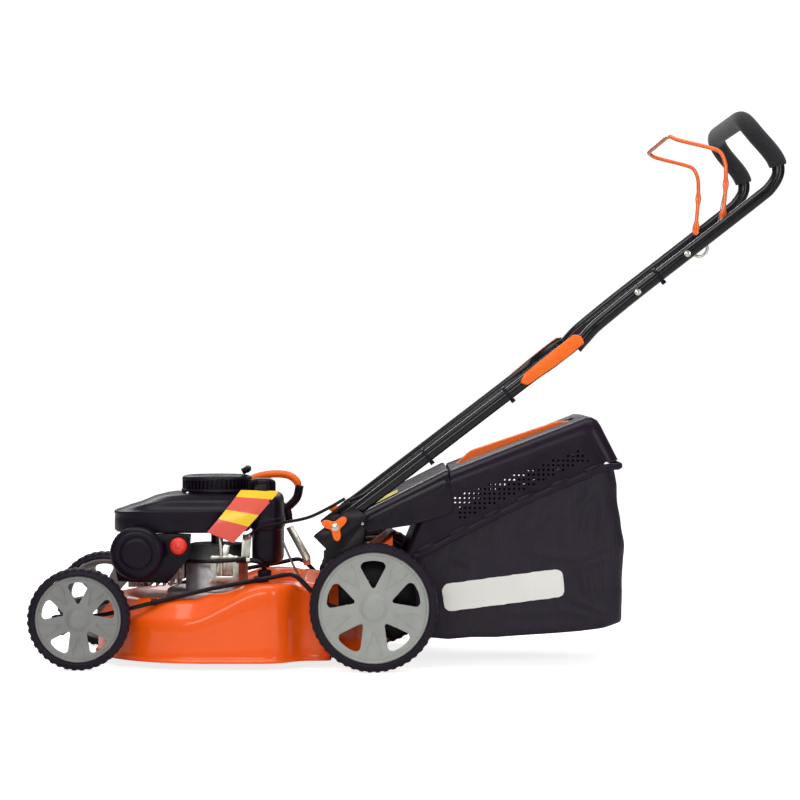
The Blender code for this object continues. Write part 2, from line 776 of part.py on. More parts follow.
def catcher_hood(plastic):
    """Hard lid of the catcher, open at its front and below, with a hand recess in its top."""
    outside = [(-5, 214), (60, 369), (90, 384), (94, 395.5), hood_top(340), (366, 501), (384, 497)]
    outside += [(394, 486), (430, 414), (431, 409), (395, 405), (259, 349), (120, 279)]
    inside = [(-60, 150), (-60, 340), (61, 364.5), (91, 379.5), (95, 391.5), hood_top(340, -4)]
    inside += [(365, 496.5), (382, 493), (390.5, 484), (426.5, 413), (427, 150)]
    lid = carved(
        side_plate(outside, -HOOD_SIDE, HOOD_SIDE),
        cut=[side_plate(inside, -HOOD_SIDE + SHEET, HOOD_SIDE - SHEET)],
    )
    walls = (hood_top(116, -2), hood_top(122, -RECESS - 3), hood_top(346, -RECESS - 3), hood_top(354, -2))
    hollow = (hood_top(119, 8), hood_top(125, -RECESS), hood_top(343, -RECESS), hood_top(351, 8))
    solid(
        "catcher_hood",
        plastic,
        lid,
        add=[side_plate(walls, -RECESS_SIDE - 3, RECESS_SIDE + 3)],
        cut=[side_plate(hollow, -RECESS_SIDE, RECESS_SIDE)],
    )


def catcher_grip(plastic):
    """Carrying bar across the recess, for the hand that lifts the catcher off."""
    knots = [(108, 0, 412.5), (117, 0, 415), (137, 0, 419), (220, 0, 447), (309, 0, 477)]
    knots += [(336, 0, 484), (345, 0, 486)]
    solid("catcher_grip", plastic, bar(smooth_path(knots, 3), 7.5, 8))


def catcher_bag(cloth):
    """Cloth tub under the hood, open at its top and at its front, with rounded corners."""

    def section(station, inset):
        """Ring round the tub at one place: rim, side, floor, side, rim."""
        x, floor, rim_x, rim_z = station
        side, lift = BAG_SIDE - inset, inset
        ring = []
        for share, drop in ((1.0, 1.0), (1.0, 0.5), (0.99, 0.12), (0.93, 0.03), (0.8, 0.0)):
            place = x + (rim_x - x) * drop
            ring.append((place, -side * share, floor + lift + (rim_z - floor - lift) * drop))
        return ring + [(px, -y, z) for px, y, z in reversed(ring)]

    stations = [
        (4, 72, -5, 210),
        (50, 57, 50, 238),
        (120, 59, 120, 275),
        (192, 61, 192, 311),
        (320, 70, 316, 368),
        (400, 78, 392, 399),
        (432, 86, 420, 403),
        (442, 112, 430, 404),
    ]
    outer = [section(s, 0) for s in stations]
    base = loft(outer)
    inside = []
    for x, low, rim_x, rim_z in stations:
        back = CLOTH if x > 400 else 0
        inside.append((x - back, low, rim_x - back, rim_z))
    inside = [(-40, 72, -49, 204), *inside]
    cutter = []
    for station in inside:
        ring = section(station, CLOTH)
        top_left, top_right = ring[0], ring[-1]
        ring[0] = (top_left[0], top_left[1], top_left[2] + 30)
        ring[-1] = (top_right[0], top_right[1], top_right[2] + 30)
        cutter.append(ring)
    solid("catcher_bag", cloth, base, cut=[loft(cutter)])


def rear_flap(plastic, steel):
    outside = ((-98, 286), (-94, 307), (83, 396), (90, 391), (96, 322), (92, 308), (13, 286), (-70, 272))
    inside = ((-110, 240), (-91, 303.5), (84, 391.5), (150, 425), (150, 240))
    base = side_plate(outside, -FLAP_SIDE, FLAP_SIDE)
    cut = [
        side_plate(inside, -FLAP_SIDE + SHEET, FLAP_SIDE - SHEET),
        pin("Y", FLAP_HINGE, 3 + GAP, -210, 210, 12),
    ]
    pivot = (FLAP_HINGE[0], 0, FLAP_HINGE[1])
    solid("rear_flap", plastic, base, cut=cut, pivot=pivot)
    solid("flap_rod", steel, pin("Y", FLAP_HINGE, 3, -224, 224, 12), pivot=pivot)


# Handle


def lower_handle(name, paint, side):
    """Tube from the bracket up to the fold joint, flattened at its top end."""
    y = side * HANDLE_Y
    length = math.dist(FOLD_LOW, FOLD_HIGH)
    route = []
    for distance in (-12, 60, length - 62, length - 56):
        x, z = along(FOLD_LOW, FOLD_HIGH, distance)
        route.append(Vector((x, y, z)))
    base = bar(route, TUBE, 14)
    tongue = [
        along(FOLD_LOW, FOLD_HIGH, length - 75, -12),
        along(FOLD_LOW, FOLD_HIGH, length + 8, -14),
        along(FOLD_LOW, FOLD_HIGH, length + 16, 0),
        along(FOLD_LOW, FOLD_HIGH, length + 8, 14),
        along(FOLD_LOW, FOLD_HIGH, length - 75, 12),
    ]
    low, high = sorted((side * 241.5, side * 246.5))
    cut = [pin("Y", FOLD_LOW, 4 + GAP, -270, 270, 12), pin("Y", FOLD_HIGH, 4 + GAP, -270, 270, 12)]
    pivot = (FOLD_LOW[0], y, FOLD_LOW[1])
    solid(name, paint, base, add=[side_plate(tongue, low, high)], cut=cut, pivot=pivot)


def upper_handle(paint, foam):
    side = [
        (368, -HANDLE_Y, 674),
        (462, -HANDLE_Y, 750),
        (560, -HANDLE_Y, 826),
        (695, -HANDLE_Y, 931),
        (736, -HANDLE_Y, 972),
        (739, -HANDLE_Y, 1004),
        (697, -231, 1062),
        (680, -214, 1085),
        (674, -180, 1095),
        (674, -90, 1097),
    ]
    route = smooth_path(mirrored(side), 2)
    base = bar(route, TUBE, 8)
    add = []
    for way in (-1, 1):
        tongue = [(336, 638), (352, 640), (386, 674), (374, 690), (352, 670), (330, 658)]
        low, high = sorted((way * 235.5, way * 240.5))
        add.append(side_plate(tongue, low, high))
    cut = [
        pin("Y", FOLD_HIGH, 4 + GAP, -270, 270, 12),
        pin("Y", BAIL_PIVOT, 3 + GAP, -260, 260, 12),
    ]
    pivot = (FOLD_HIGH[0], 0, FOLD_HIGH[1])
    solid("upper_handle", paint, base, add=add, cut=cut, pivot=pivot)
    covered = [p for p in route if p.z > 1005]
    solid("foam_grip", foam, sleeve(covered, FOAM, TUBE + 0.5, 8), pivot=pivot)


def bail(paint):
    """Wire hoop that has to be held against the handle to keep the engine running."""
    side = [
        (BAIL_PIVOT[0] + 0.7, -BAIL_Y, BAIL_PIVOT[1] - 4.4),
        (637, -BAIL_Y, 930),
        (640, -BAIL_Y, 985),
        (637, -214, 1022),
        (612, -211, 1037),
        (560, -208, 1050),
        (537, -204, 1058),
        (530, -188, 1062),
        (529, -150, 1063),
    ]
    route = smooth_path(mirrored(side), 2)
    base = bar(route, BAIL_WIRE, 6)
    add = []
    for way in (-1, 1):
        low, high = sorted((way * 214, way * 219))
        add.append(pin("Y", BAIL_PIVOT, 8, low, high, 16))
        low, high = sorted((way * 215.3, way * 244))
        add.append(pin("Y", BAIL_PIVOT, 3, low, high, 10))
    pivot = (BAIL_PIVOT[0], 0, BAIL_PIVOT[1])
    solid("bail", paint, base, add=add, pivot=pivot)


def cam_lever(name, accent, side):
    """Quick-release lever that clamps the fold joint and lies along the lower tube."""
    outline = [
        along(FOLD_LOW, FOLD_HIGH, 470, -9),
        along(FOLD_LOW, FOLD_HIGH, 462, 4),
        along(FOLD_LOW, FOLD_HIGH, 480, 13),
        along(FOLD_LOW, FOLD_HIGH, 560, 15),
        along(FOLD_LOW, FOLD_HIGH, 604, 15),
        along(FOLD_LOW, FOLD_HIGH, 613, 4),
        along(FOLD_LOW, FOLD_HIGH, 610, -11),
        along(FOLD_LOW, FOLD_HIGH, 560, -13),
    ]
    low, high = sorted((side * 249.5, side * 259.5))
    x, z = along(FOLD_LOW, FOLD_HIGH, 608)
    solid(name, accent, side_plate(outline, low, high), pivot=(x, side * 254.5, z))


def knob(name, accent, side):
    """Three-lobed knob on the bolt of the lower fold joint."""
    outline = []
    for i in range(24):
        turn = 2 * math.pi * i / 24
        reach = 21 + 7 * math.cos(3 * (turn - math.radians(161)))
        outline.append(
            (FOLD_LOW[0] + reach * math.cos(turn), FOLD_LOW[1] + reach * math.sin(turn))
        )
    low, high = sorted((side * 258, side * 270))
    boss = sorted((side * 253.5, side * 259))
    shank = sorted((side * 214, side * 256))
    add = [pin("Y", FOLD_LOW, 11, *boss, 16), pin("Y", FOLD_LOW, 4, *shank, 12)]
    pivot = (FOLD_LOW[0], side * 262, FOLD_LOW[1])
    solid(name, accent, side_plate(outline, low, high), add=add, pivot=pivot)


def cables(rubber):
    """The brake cable in three lengths: by the engine, on the lower and on the upper handle."""
    knots = [(-318, -114, 256), (-290, -140, 276), (-240, -178, 290), (-190, -200, 302)]
    knots += [(-148, -206, 322), (-117, -208, 340)]
    solid("cable_engine", rubber, bar(smooth_path(knots, 4), CABLE, 6))

    def beside(distance, lift, inward):
        x, z = along(FOLD_LOW, FOLD_HIGH, distance, lift)
        return (x, -HANDLE_Y + inward, z)

    knots = [beside(52, 22, 22), beside(90, 14, 13), beside(200, 12, 13), beside(330, 12, 13)]
    knots += [beside(460, 12, 13), beside(560, 13, 14)]
    pivot = (FOLD_LOW[0], -HANDLE_Y, FOLD_LOW[1])
    solid("cable_lower", rubber, bar(smooth_path(knots, 4), CABLE, 6), pivot=pivot)
    knots = [(366, -218, 690), (420, -218, 732), (520, -218, 808), (590, -216, 856), (622, -204, 872)]
    pivot = (FOLD_HIGH[0], -HANDLE_Y, FOLD_HIGH[1])
    solid("cable_upper", rubber, bar(smooth_path(knots, 4), CABLE, 6), pivot=pivot)


def main():
    clear_scene()
    paint = material("deck_paint_orange", (0.80, 0.07, 0.02), 0.25)
    accent = material("orange_plastic", (0.90, 0.16, 0.03), 0.45)
    bail_paint = material("bail_paint_orange", (0.86, 0.14, 0.02), 0.35)
    black = material("black_plastic", (0.012, 0.010, 0.014), 0.45)
    hood_black = material("hood_plastic_black", (0.014, 0.012, 0.016), 0.5)
    flap_black = material("flap_plastic_black", (0.012, 0.010, 0.014), 0.4)
    tube_black = material("handle_paint_black", (0.008, 0.008, 0.010), 0.28)
    rubber = material("tyre_rubber", (0.010, 0.009, 0.010), 0.8)
    hose = material("cable_rubber", (0.010, 0.010, 0.010), 0.6)
    foam = material("grip_foam", (0.015, 0.014, 0.015), 0.95)
    cloth = material("bag_cloth", (0.016, 0.014, 0.018), 0.9)
    front_grey = material("front_rim_plastic", (0.26, 0.26, 0.25), 0.5)
    rear_grey = material("rear_rim_plastic", (0.38, 0.39, 0.36), 0.5)
    steel = material("steel", (0.42, 0.42, 0.42), 0.35, 1.0)
    black_steel = material("black_steel", (0.02, 0.02, 0.02), 0.4, 0.6)
    zinc = material("zinc_plated_steel", (0.58, 0.58, 0.52), 0.35, 1.0)
    metal = material("cast_aluminium", (0.45, 0.45, 0.45), 0.5, 1.0)
    red = material("primer_rubber_red", (0.80, 0.04, 0.04), 0.35)

    deck_shell(paint)
    discharge_tunnel(paint)
    for side, word in ((-1, "left"), (1, "right")):
        handle_bracket(f"handle_bracket_{word}", black_steel, side)
        rear_crank(f"rear_crank_{word}", black_steel, side)
        link_rod(f"link_rod_{word}", black_steel, side)
        lower_handle(f"lower_handle_{word}", tube_black, side)
        cam_lever(f"cam_lever_{word}", accent, side)
        knob(f"knob_{word}", accent, side)
    front_axle(black_steel)
    height_lever(zinc, black, accent)
    wheels(rubber, front_grey, rear_grey)
    crankcase(metal)
    cylinder(metal)
    muffler(zinc)
    blower_housing(black)
    recoil_starter(black)
    starter_grip(black)
    fuel_tank(black, black)
    air_filter(black, black, red)
    carburetor(metal)
    governor_bracket(zinc)
    brake_lever(zinc)
    oil_filler(black)
    fuel_line(hose)
    rotating_group(steel, metal)
    blade(steel)
    catcher_hood(hood_black)
    catcher_grip(accent)
    catcher_bag(cloth)
    rear_flap(flap_black, zinc)
    upper_handle(tube_black, foam)
    bail(bail_paint)
    cables(hose)


main()
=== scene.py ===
# %% [markdown]
# # A petrol lawn mower, dressed on its CAD frame
#
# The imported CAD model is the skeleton: it fixes where everything is and how it moves. This
# notebook puts a finished surface on every piece, in the same millimetres, and leaves the
# skeleton alone. +X runs to the rear, where the user walks, -Y is the mower's left side,
# and the wheels stand on z = 0.

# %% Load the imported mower
import json
import math

import bmesh
import bpy
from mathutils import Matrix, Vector, noise
from mathutils.bvhtree import BVHTree
from mathutils.geometry import delaunay_2d_cdt


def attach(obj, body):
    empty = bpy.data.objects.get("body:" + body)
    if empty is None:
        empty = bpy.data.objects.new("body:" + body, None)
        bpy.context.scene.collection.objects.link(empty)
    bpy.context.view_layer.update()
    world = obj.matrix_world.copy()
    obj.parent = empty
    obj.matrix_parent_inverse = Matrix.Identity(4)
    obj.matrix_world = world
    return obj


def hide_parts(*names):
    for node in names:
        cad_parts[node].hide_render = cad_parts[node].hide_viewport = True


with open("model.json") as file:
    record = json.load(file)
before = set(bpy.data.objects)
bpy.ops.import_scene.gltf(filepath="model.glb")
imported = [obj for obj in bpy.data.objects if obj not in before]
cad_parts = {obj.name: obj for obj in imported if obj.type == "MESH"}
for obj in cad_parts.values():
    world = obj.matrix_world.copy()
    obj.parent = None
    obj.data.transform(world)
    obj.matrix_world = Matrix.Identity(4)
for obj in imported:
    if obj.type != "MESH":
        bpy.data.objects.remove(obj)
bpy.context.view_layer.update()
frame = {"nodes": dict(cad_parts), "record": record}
slot_of = {row["node"]: row["material_slot"] for row in frame["record"]["subparts"]}
body_of = {}
for body_name, members in frame["record"]["behaviour"]["bodies"].items():
    for member in members:
        body_of[member] = body_name

# %% [markdown]
# ## Camera
#
# A catalogue view of a mower is taken from far away with a long lens, so that the near and
# far wheels come out almost the same size. The camera looks level across the machine at
# chest height, and a small shift of the lens frames it, because tilting would make the
# upright lines lean.

# %% Camera
camera = bpy.data.objects.new("camera", bpy.data.cameras.new("camera"))
camera.location = (-0.0273, -5.07, 0.6059)
camera.rotation_euler = (math.radians(90), 0, 0)
camera.data.sensor_width = 36.0
camera.data.lens = 109.94
camera.data.shift_x, camera.data.shift_y = 0.0125, -0.0438
camera.data.clip_end = 200.0
bpy.context.scene.collection.objects.link(camera)
bpy.context.scene.camera = camera
print("lens", round(camera.data.lens, 1), "mm")

# %% [markdown]
# ## Adding a node, and turning a colour
#
# A material or a light is a small graph of nodes. One function adds a node, sets it and
# links it, and all the graphs below are made with it. Colours are written the way a paint
# card gives them, in sRGB, and Blender wants linear light, so one function turns them.

# %% Two helpers for every node tree
def linear(code):
    """sRGB hex colour as the linear RGBA that a shader takes."""
    parts = [int(code[i : i + 2], 16) / 255 for i in (1, 3, 5)]
    return (*[c / 12.92 if c <= 0.04045 else ((c + 0.055) / 1.055) ** 2.4 for c in parts], 1.0)


def add_node(tree, kind, sockets=None, **settings):
    """New node. A socket takes a value, or another node's output to link."""
    made = tree.nodes.new(kind)
    for name, value in settings.items():
        setattr(made, name, value)
    for key, value in (sockets or {}).items():
        if isinstance(value, bpy.types.NodeSocket):
            tree.links.new(value, made.inputs[key])
        else:
            made.inputs[key].default_value = value
    return made


# %% [markdown]
# ## Floor and studio light
#
# The mower stands on a plain pale floor that runs out to the horizon. Gloss paint only
# looks like gloss when it has something to mirror, so the light comes from a few large
# soft boxes with darker room between them: one overhead, a long strip low in front that
# draws a line on the deck, and one behind that edges the handle. The room itself is bright
# above and dim at the sides, and white where the camera sees it.

# %% Floor
ROOM_SIZE = 60.0
floor_paint = bpy.data.materials.new("studio_floor_paint")
floor_paint.use_nodes = True
floor_shader = floor_paint.node_tree.nodes["Principled BSDF"]
floor_shader.inputs["Base Color"].default_value = linear("#F4F4F4")
floor_shader.inputs["Roughness"].default_value = 0.9
floor_shader.inputs["Emission Color"].default_value = linear("#FFFFFF")
looked_at = add_node(floor_paint.node_tree, "ShaderNodeLightPath")
lit = add_node(
    floor_paint.node_tree, "ShaderNodeMath", {0: looked_at.outputs["Is Camera Ray"], 1: 0.8},
    operation="MULTIPLY"
)
floor_paint.node_tree.links.new(lit.outputs[0], floor_shader.inputs["Emission Strength"])
floor_mesh = bpy.data.meshes.new("floor")
half = ROOM_SIZE / 2
corners = [(-half, -half, -0.0005), (half, -half, -0.0005), (half, half, -0.0005), (-half, half, -0.0005)]
floor_mesh.from_pydata(corners, [], [(0, 1, 2, 3)])
floor_mesh.materials.append(floor_paint)
floor = bpy.data.objects.new("floor", floor_mesh)
bpy.context.scene.collection.objects.link(floor)

# %% [markdown]
# ## Soft boxes and the room
#
# Each soft box is an area light, which throws softer light the larger it is. to_track_quat
# turns one to face a spot, so its angles need not be worked out by hand. The room shows the
# camera one brightness and gives everything else a dimmer one, through the Light Path node,
# so that the ground stays white while black parts stay deep.

# %% Lights
def soft_box(name, place, aim, size, power):
    """Rectangular area light that points at a spot."""
    light = bpy.data.objects.new(name, bpy.data.lights.new(name, "AREA"))
    light.data.shape = "RECTANGLE"
    light.data.size, light.data.size_y = size
    light.data.energy = power
    light.location = place
    light.rotation_euler = (Vector(aim) - Vector(place)).to_track_quat("-Z", "Y").to_euler()
    bpy.context.scene.collection.objects.link(light)


soft_box("overhead_box", (-0.1, -0.6, 3.0), (-0.1, 0.0, 0.3), (3.2, 1.6), 58)
soft_box("front_strip", (-0.9, -3.6, 1.5), (-0.1, 0.0, 0.3), (2.6, 0.7), 34)
soft_box("front_right_box", (2.4, -2.8, 1.2), (0.0, 0.0, 0.4), (0.8, 1.4), 20)
soft_box("rear_box", (-0.6, 3.4, 2.2), (0.0, 0.0, 0.4), (3.0, 1.0), 36)

world = bpy.data.worlds.new("studio_room")
world.use_nodes = True
bpy.context.scene.world = world
room = world.node_tree
room.nodes.clear()
facing = add_node(room, "ShaderNodeTexCoord")
height = add_node(room, "ShaderNodeSeparateXYZ", {0: facing.outputs["Generated"]})
fade = add_node(room, "ShaderNodeMapRange", {0: height.outputs["Z"], 1: -0.1, 2: 0.9, 3: 0.05, 4: 0.40})
dim = add_node(room, "ShaderNodeBackground", {0: linear("#FFFFFF"), 1: fade.outputs[0]})
white = add_node(room, "ShaderNodeBackground", {0: linear("#FFFFFF"), 1: 1.05})
seen = add_node(room, "ShaderNodeLightPath")
mixed = add_node(
    room, "ShaderNodeMixShader", {0: seen.outputs["Is Camera Ray"], 1: dim.outputs[0], 2: white.outputs[0]}
)
add_node(room, "ShaderNodeOutputWorld", {0: mixed.outputs[0]})
bpy.context.scene.view_settings.view_transform = "Standard"

# %% [markdown]
# ## Finishes
#
# A mower is mostly enamelled steel, moulded polypropylene, rubber and bare metal. Each
# finish starts from one shader with the values such a stuff really has. Then two things
# break up its evenness: a slow drift of colour, and a fine bump at the size of the real
# grain. The bump's size is given in millimetres, and a texture's scale is how many of its
# grains fit in a metre.

# %% One builder for the plain finishes
def finish(name, colour, roughness, grain=None, drift=None, **sockets):
    """Principled material. grain is (size in mm, depth in mm); drift is (colour, size in mm, share)."""
    made = bpy.data.materials.new(name)
    made.use_nodes = True
    tree = made.node_tree
    shader = tree.nodes["Principled BSDF"]
    shader.inputs["Base Color"].default_value = linear(colour)
    shader.inputs["Roughness"].default_value = roughness
    for key, value in sockets.items():
        shader.inputs[key.replace("_", " ")].default_value = value
    where = add_node(tree, "ShaderNodeTexCoord").outputs["Object"]
    if drift:
        other, size, share = drift
        cloud = add_node(tree, "ShaderNodeTexNoise", {"Vector": where, "Scale": 1000 / size, "Detail": 4.0})
        amount = add_node(
            tree, "ShaderNodeMapRange", {0: cloud.outputs["Fac"], 1: 0.35, 2: 0.65, 3: 0.0, 4: share}
        )
        blend = add_node(
            tree,
            "ShaderNodeMix",
            {0: amount.outputs[0], 6: linear(colour), 7: linear(other)},
            data_type="RGBA",
        )
        tree.links.new(blend.outputs[2], shader.inputs["Base Color"])
        rough = add_node(
            tree,
            "ShaderNodeMapRange",
            {0: cloud.outputs["Fac"], 1: 0.3, 2: 0.7, 3: roughness * 0.9, 4: min(1.0, roughness * 1.15)},
        )
        tree.links.new(rough.outputs[0], shader.inputs["Roughness"])
    if grain:
        size, depth = grain
        bumps = add_node(tree, "ShaderNodeTexNoise", {"Vector": where, "Scale": 1000 / size, "Detail": 2.0})
        relief = add_node(
            tree, "ShaderNodeBump",
            {"Strength": 1.0, "Distance": depth / 1000, "Height": bumps.outputs["Fac"]}
        )
        tree.links.new(relief.outputs[0], shader.inputs["Normal"])
    return made


# %% [markdown]
# Powder coat and enamel are a colour under a clear skin, so they get a coat. The coat has
# the soft waves called orange peel, about 3 mm across. Moulded plastic has no coat: its
# mould is spark eroded, which leaves a grain of about half a millimetre that spreads the
# highlight. Bare metal takes its colour from what it mirrors, and differs by how it was
# made: cast is grainy, zinc plate is bright and a little yellow.

# %% Paints, plastics, rubbers and metals
FINISHES = {
    "deck_paint_orange": finish(
        "powder_coat_orange", "#FB5E0A", 0.34, (3.0, 0.012), ("#F25206", 90, 0.5), Coat_Weight=0.4,
        Coat_Roughness=0.06,
        Specular_IOR_Level=0.3
    ),
    "bail_paint_orange": finish(
        "wire_enamel_orange", "#FA7018", 0.3, (2.0, 0.01), ("#E85A18", 40, 0.6), Coat_Weight=0.5,
        Coat_Roughness=0.1
    ),
    "orange_plastic": finish(
        "moulded_nylon_orange", "#FF7212", 0.42, (0.8, 0.02), ("#F8680E", 30, 0.6),
        Specular_IOR_Level=0.35
    ),
    "black_plastic": finish(
        "moulded_polypropylene_black", "#150C1A", 0.33, (0.8, 0.02), ("#1A1020", 35, 0.7),
        Specular_IOR_Level=0.17
    ),
    "hood_plastic_black": finish(
        "hood_polypropylene_black", "#1C1122", 0.34, (1.0, 0.03), ("#221628", 40, 0.7),
        Specular_IOR_Level=0.2
    ),
    "flap_plastic_black": finish(
        "flap_polypropylene_black", "#180F1C", 0.28, (0.8, 0.02), ("#1E1422", 35, 0.7),
        Specular_IOR_Level=0.28
    ),
    "handle_paint_black": finish(
        "tube_enamel_black", "#0B070D", 0.22, (3.0, 0.01), ("#0F0A11", 60, 0.6), Specular_IOR_Level=0.35
    ),
    "black_steel": finish(
        "crank_paint_black", "#100A12", 0.33, (2.0, 0.015), ("#150E18", 30, 0.6), Specular_IOR_Level=0.25
    ),
    "tyre_rubber": finish(
        "moulded_tyre_rubber", "#1B121F", 0.55, (1.2, 0.06), ("#221826", 25, 0.8), Specular_IOR_Level=0.2
    ),
    "cable_rubber": finish(
        "cable_sleeve_vinyl", "#100A12", 0.36, (1.0, 0.02), ("#150E18", 20, 0.6), Specular_IOR_Level=0.25
    ),
    "primer_rubber_red": finish("primer_silicone_red", "#E8352C", 0.4, (1.0, 0.02), ("#F24A3E", 12, 0.7)),
    "front_rim_plastic": finish("rim_nylon_dark_grey", "#878785", 0.45, (0.9, 0.03), ("#7C7C7A", 22, 0.6)),
    "rear_rim_plastic": finish("rim_nylon_light_grey", "#A2A49F", 0.42, (0.9, 0.03), ("#979994", 22, 0.6)),
    "steel": finish("ground_steel", "#8D8F92", 0.38, (0.6, 0.02), ("#7C7E82", 12, 0.7), Metallic=1.0),
    "zinc_plated_steel": finish("zinc_plate", "#D6D4C8", 0.3, (1.5, 0.02), ("#BDBBAE", 8, 0.7), Metallic=1.0),
    "cast_aluminium": finish(
        "die_cast_aluminium", "#C2C2C6", 0.46, (0.9, 0.08), ("#A2A2A6", 14, 0.7), Metallic=0.9
    ),
}
print(len(FINISHES), "plain finishes")

# %% [markdown]
# ## Making a mesh from numbers
#
# Most pieces are rings of points with a skin between them: turned wheels, bent tubes and
# blown or pressed shells are all rings that change along a path. So a few functions carry
# the work. They take millimetres, and they turn every face outwards at the end.

# %% Pieces and skins
MM = 0.001


def outward(mesh):
    """Joins points that coincide and turns all faces out."""
    work = bmesh.new()
    work.from_mesh(mesh)
    bmesh.ops.remove_doubles(work, verts=work.verts, dist=1e-6)
    bmesh.ops.recalc_face_normals(work, faces=work.faces)
    work.to_mesh(mesh)
    work.free()


def new_piece(name, points, faces, paint):
    mesh = bpy.data.meshes.new(name)
    mesh.from_pydata([Vector(p) * MM for p in points], [], faces)
    outward(mesh)
    mesh.materials.append(paint)
    piece = bpy.data.objects.new(name, mesh)
    bpy.context.scene.collection.objects.link(piece)
    return piece


def skin(rings, closed=False, caps=True, offset=0):
    """Points and faces over rings of equal length, capped at both ends unless it closes on itself."""
    count = len(rings[0])
    points = [p for ring in rings for p in ring]
    faces = []
    for row in range(len(rings) if closed else len(rings) - 1):
        low, high = row * count, (row + 1) % len(rings) * count
        for i in range(count):
            j = (i + 1) % count
            faces.append((low + i, low + j, high + j, high + i))
    if caps and not closed:
        faces.append(tuple(range(count)))
        faces.append(tuple(range(len(points) - count, len(points))))
    return points, [tuple(offset + i for i in face) for face in faces]


def merged(*shapes):
    """Several (points, faces) as one."""
    points, faces = [], []
    for more_points, more_faces in shapes:
        start = len(points)
        points.extend(more_points)
        faces.extend(tuple(start + i for i in face) for face in more_faces)
    return points, faces


def evaluated(piece):
    """The piece with its modifiers worked into its mesh."""
    bpy.context.view_layer.update()
    graph = bpy.context.evaluated_depsgraph_get()
    mesh = bpy.data.meshes.new_from_object(piece.evaluated_get(graph))
    mesh.name = piece.name
    piece.modifiers.clear()
    piece.data = mesh
    return piece


def rounded(piece, width, segments=2, angle=30):
    """Breaks the sharp edges, as a mould or a tumbler does."""
    bevel = piece.modifiers.new("edge", "BEVEL")
    bevel.width, bevel.segments = width * MM, segments
    bevel.limit_method, bevel.angle_limit = "ANGLE", math.radians(angle)
    return evaluated(piece)


def dressed(piece, body, slot, *nodes, sharp=38):
    """Shades the piece and hangs it on the frame."""
    piece.data.shade_smooth()
    piece.data.set_sharp_from_angle(angle=math.radians(sharp))
    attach(piece, body)
    if nodes:
        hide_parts(*nodes)
    return piece


# %% [markdown]
# ## Turned parts, tubes and plates
#
# Most parts of a mower are one of three shapes: a profile turned round an axis, a tube along
# a line, or a flat plate with a thickness. One function makes each, so that the cells below
# hold little more than the measures of a part.

# %% Rings, tubes and plates
def circle(axis, centre, radius, along, count=64):
    ring = []
    for i in range(count):
        turn = 2 * math.pi * i / count
        u, v = radius * math.cos(turn), radius * math.sin(turn)
        spot = {"Z": (centre[0] + u, centre[1] + v, along), "Y": (centre[0] + u, along, centre[1] + v)}
        ring.append(spot.get(axis, (along, centre[0] + u, centre[1] + v)))
    return ring


def turned(axis, centre, profile, count=64, closed=False):
    """Lathe shape through (radius, height) pairs."""
    return skin([circle(axis, centre, r, h, count) for r, h in profile], closed)


def oval(centre, half, height, power=2.6, count=96):
    """Level ring between an ellipse and a rectangle."""
    ring = []
    for i in range(count):
        c, s = math.cos(2 * math.pi * i / count), math.sin(2 * math.pi * i / count)
        x = centre[0] + half[0] * math.copysign(abs(c) ** (2 / power), c)
        y = centre[1] + half[1] * math.copysign(abs(s) ** (2 / power), s)
        ring.append((x, y, height))
    return ring


def smooth_path(knots, steps=8):
    """Smooth curve through the knots."""
    path = [Vector(p) for p in knots]
    ends = [2 * path[0] - path[1], *path, 2 * path[-1] - path[-2]]
    route = []
    for i in range(len(path) - 1):
        a, b, c, d = ends[i : i + 4]
        for step in range(steps):
            t = step / steps
            first = 2 * b + (c - a) * t + (2 * a - 5 * b + 4 * c - d) * t**2
            route.append(0.5 * (first + (3 * b - a - 3 * c + d) * t**3))
    return [*route, path[-1]]


def tube(route, radius, sides=20, caps=True):
    """Round skin about a route. radius is a number, or a function of the share of the way along."""
    side = Vector((0, 1, 0))
    rings = []
    for i, point in enumerate(route):
        ahead = (route[min(i + 1, len(route) - 1)] - route[max(i - 1, 0)]).normalized()
        side = side - ahead * side.dot(ahead)
        side = (side if side.length > 0.1 else ahead.orthogonal()).normalized()
        up = ahead.cross(side)
        reach = radius(i / (len(route) - 1)) if callable(radius) else radius
        wide, tall = reach if isinstance(reach, tuple) else (reach, reach)
        ring = []
        for k in range(sides):
            turn = 2 * math.pi * k / sides
            ring.append(point + wide * math.cos(turn) * side + tall * math.sin(turn) * up)
        rings.append(ring)
    return skin(rings, caps=caps)


def plate(outline, low, high):
    """Outline of (x, z) pairs, thick from y = low to y = high."""
    return skin([[(x, low, z) for x, z in outline], [(x, high, z) for x, z in outline]])


def mirrored(knots):
    return [*knots, *[(x, -y, z) for x, y, z in reversed(knots)]]


# %% [markdown]
# ## Small CAD pieces, with broken edges
#
# Brackets, levers and engine castings already have the right shape. What tells the eye
# that they are real is the thin line of light on each edge. A copy of the CAD mesh is
# merged into whole faces, and a bevel rounds its sharp edges by less than a millimetre.

# %% Copies of the simple pieces
EDGES = {
    "cam_lever_left": 2.6, "cam_lever_right": 2.6,
    "handle_bracket_left": 0.7, "handle_bracket_right": 0.7, "rear_crank_left": 0.6,
    "rear_crank_right": 0.6, "front_axle": 0.6, "height_lever_strap": 0.8,
    "crankcase": 1.2, "cylinder": 0.6, "cylinder_head": 1.2, "muffler": 2.0,
    "air_filter_base": 1.6, "carburetor": 1.4, "governor_bracket": 0.4, "brake_lever": 0.5,
    "oil_filler_tube": 0.0, "oil_cap": 0.8, "rope_pulley": 0.4, "crankshaft": 0.5,
    "flywheel": 0.5, "blade_carrier": 0.6, "blade": 0.5, "discharge_tunnel": 1.0,
    "flap_rod": 0.3, }


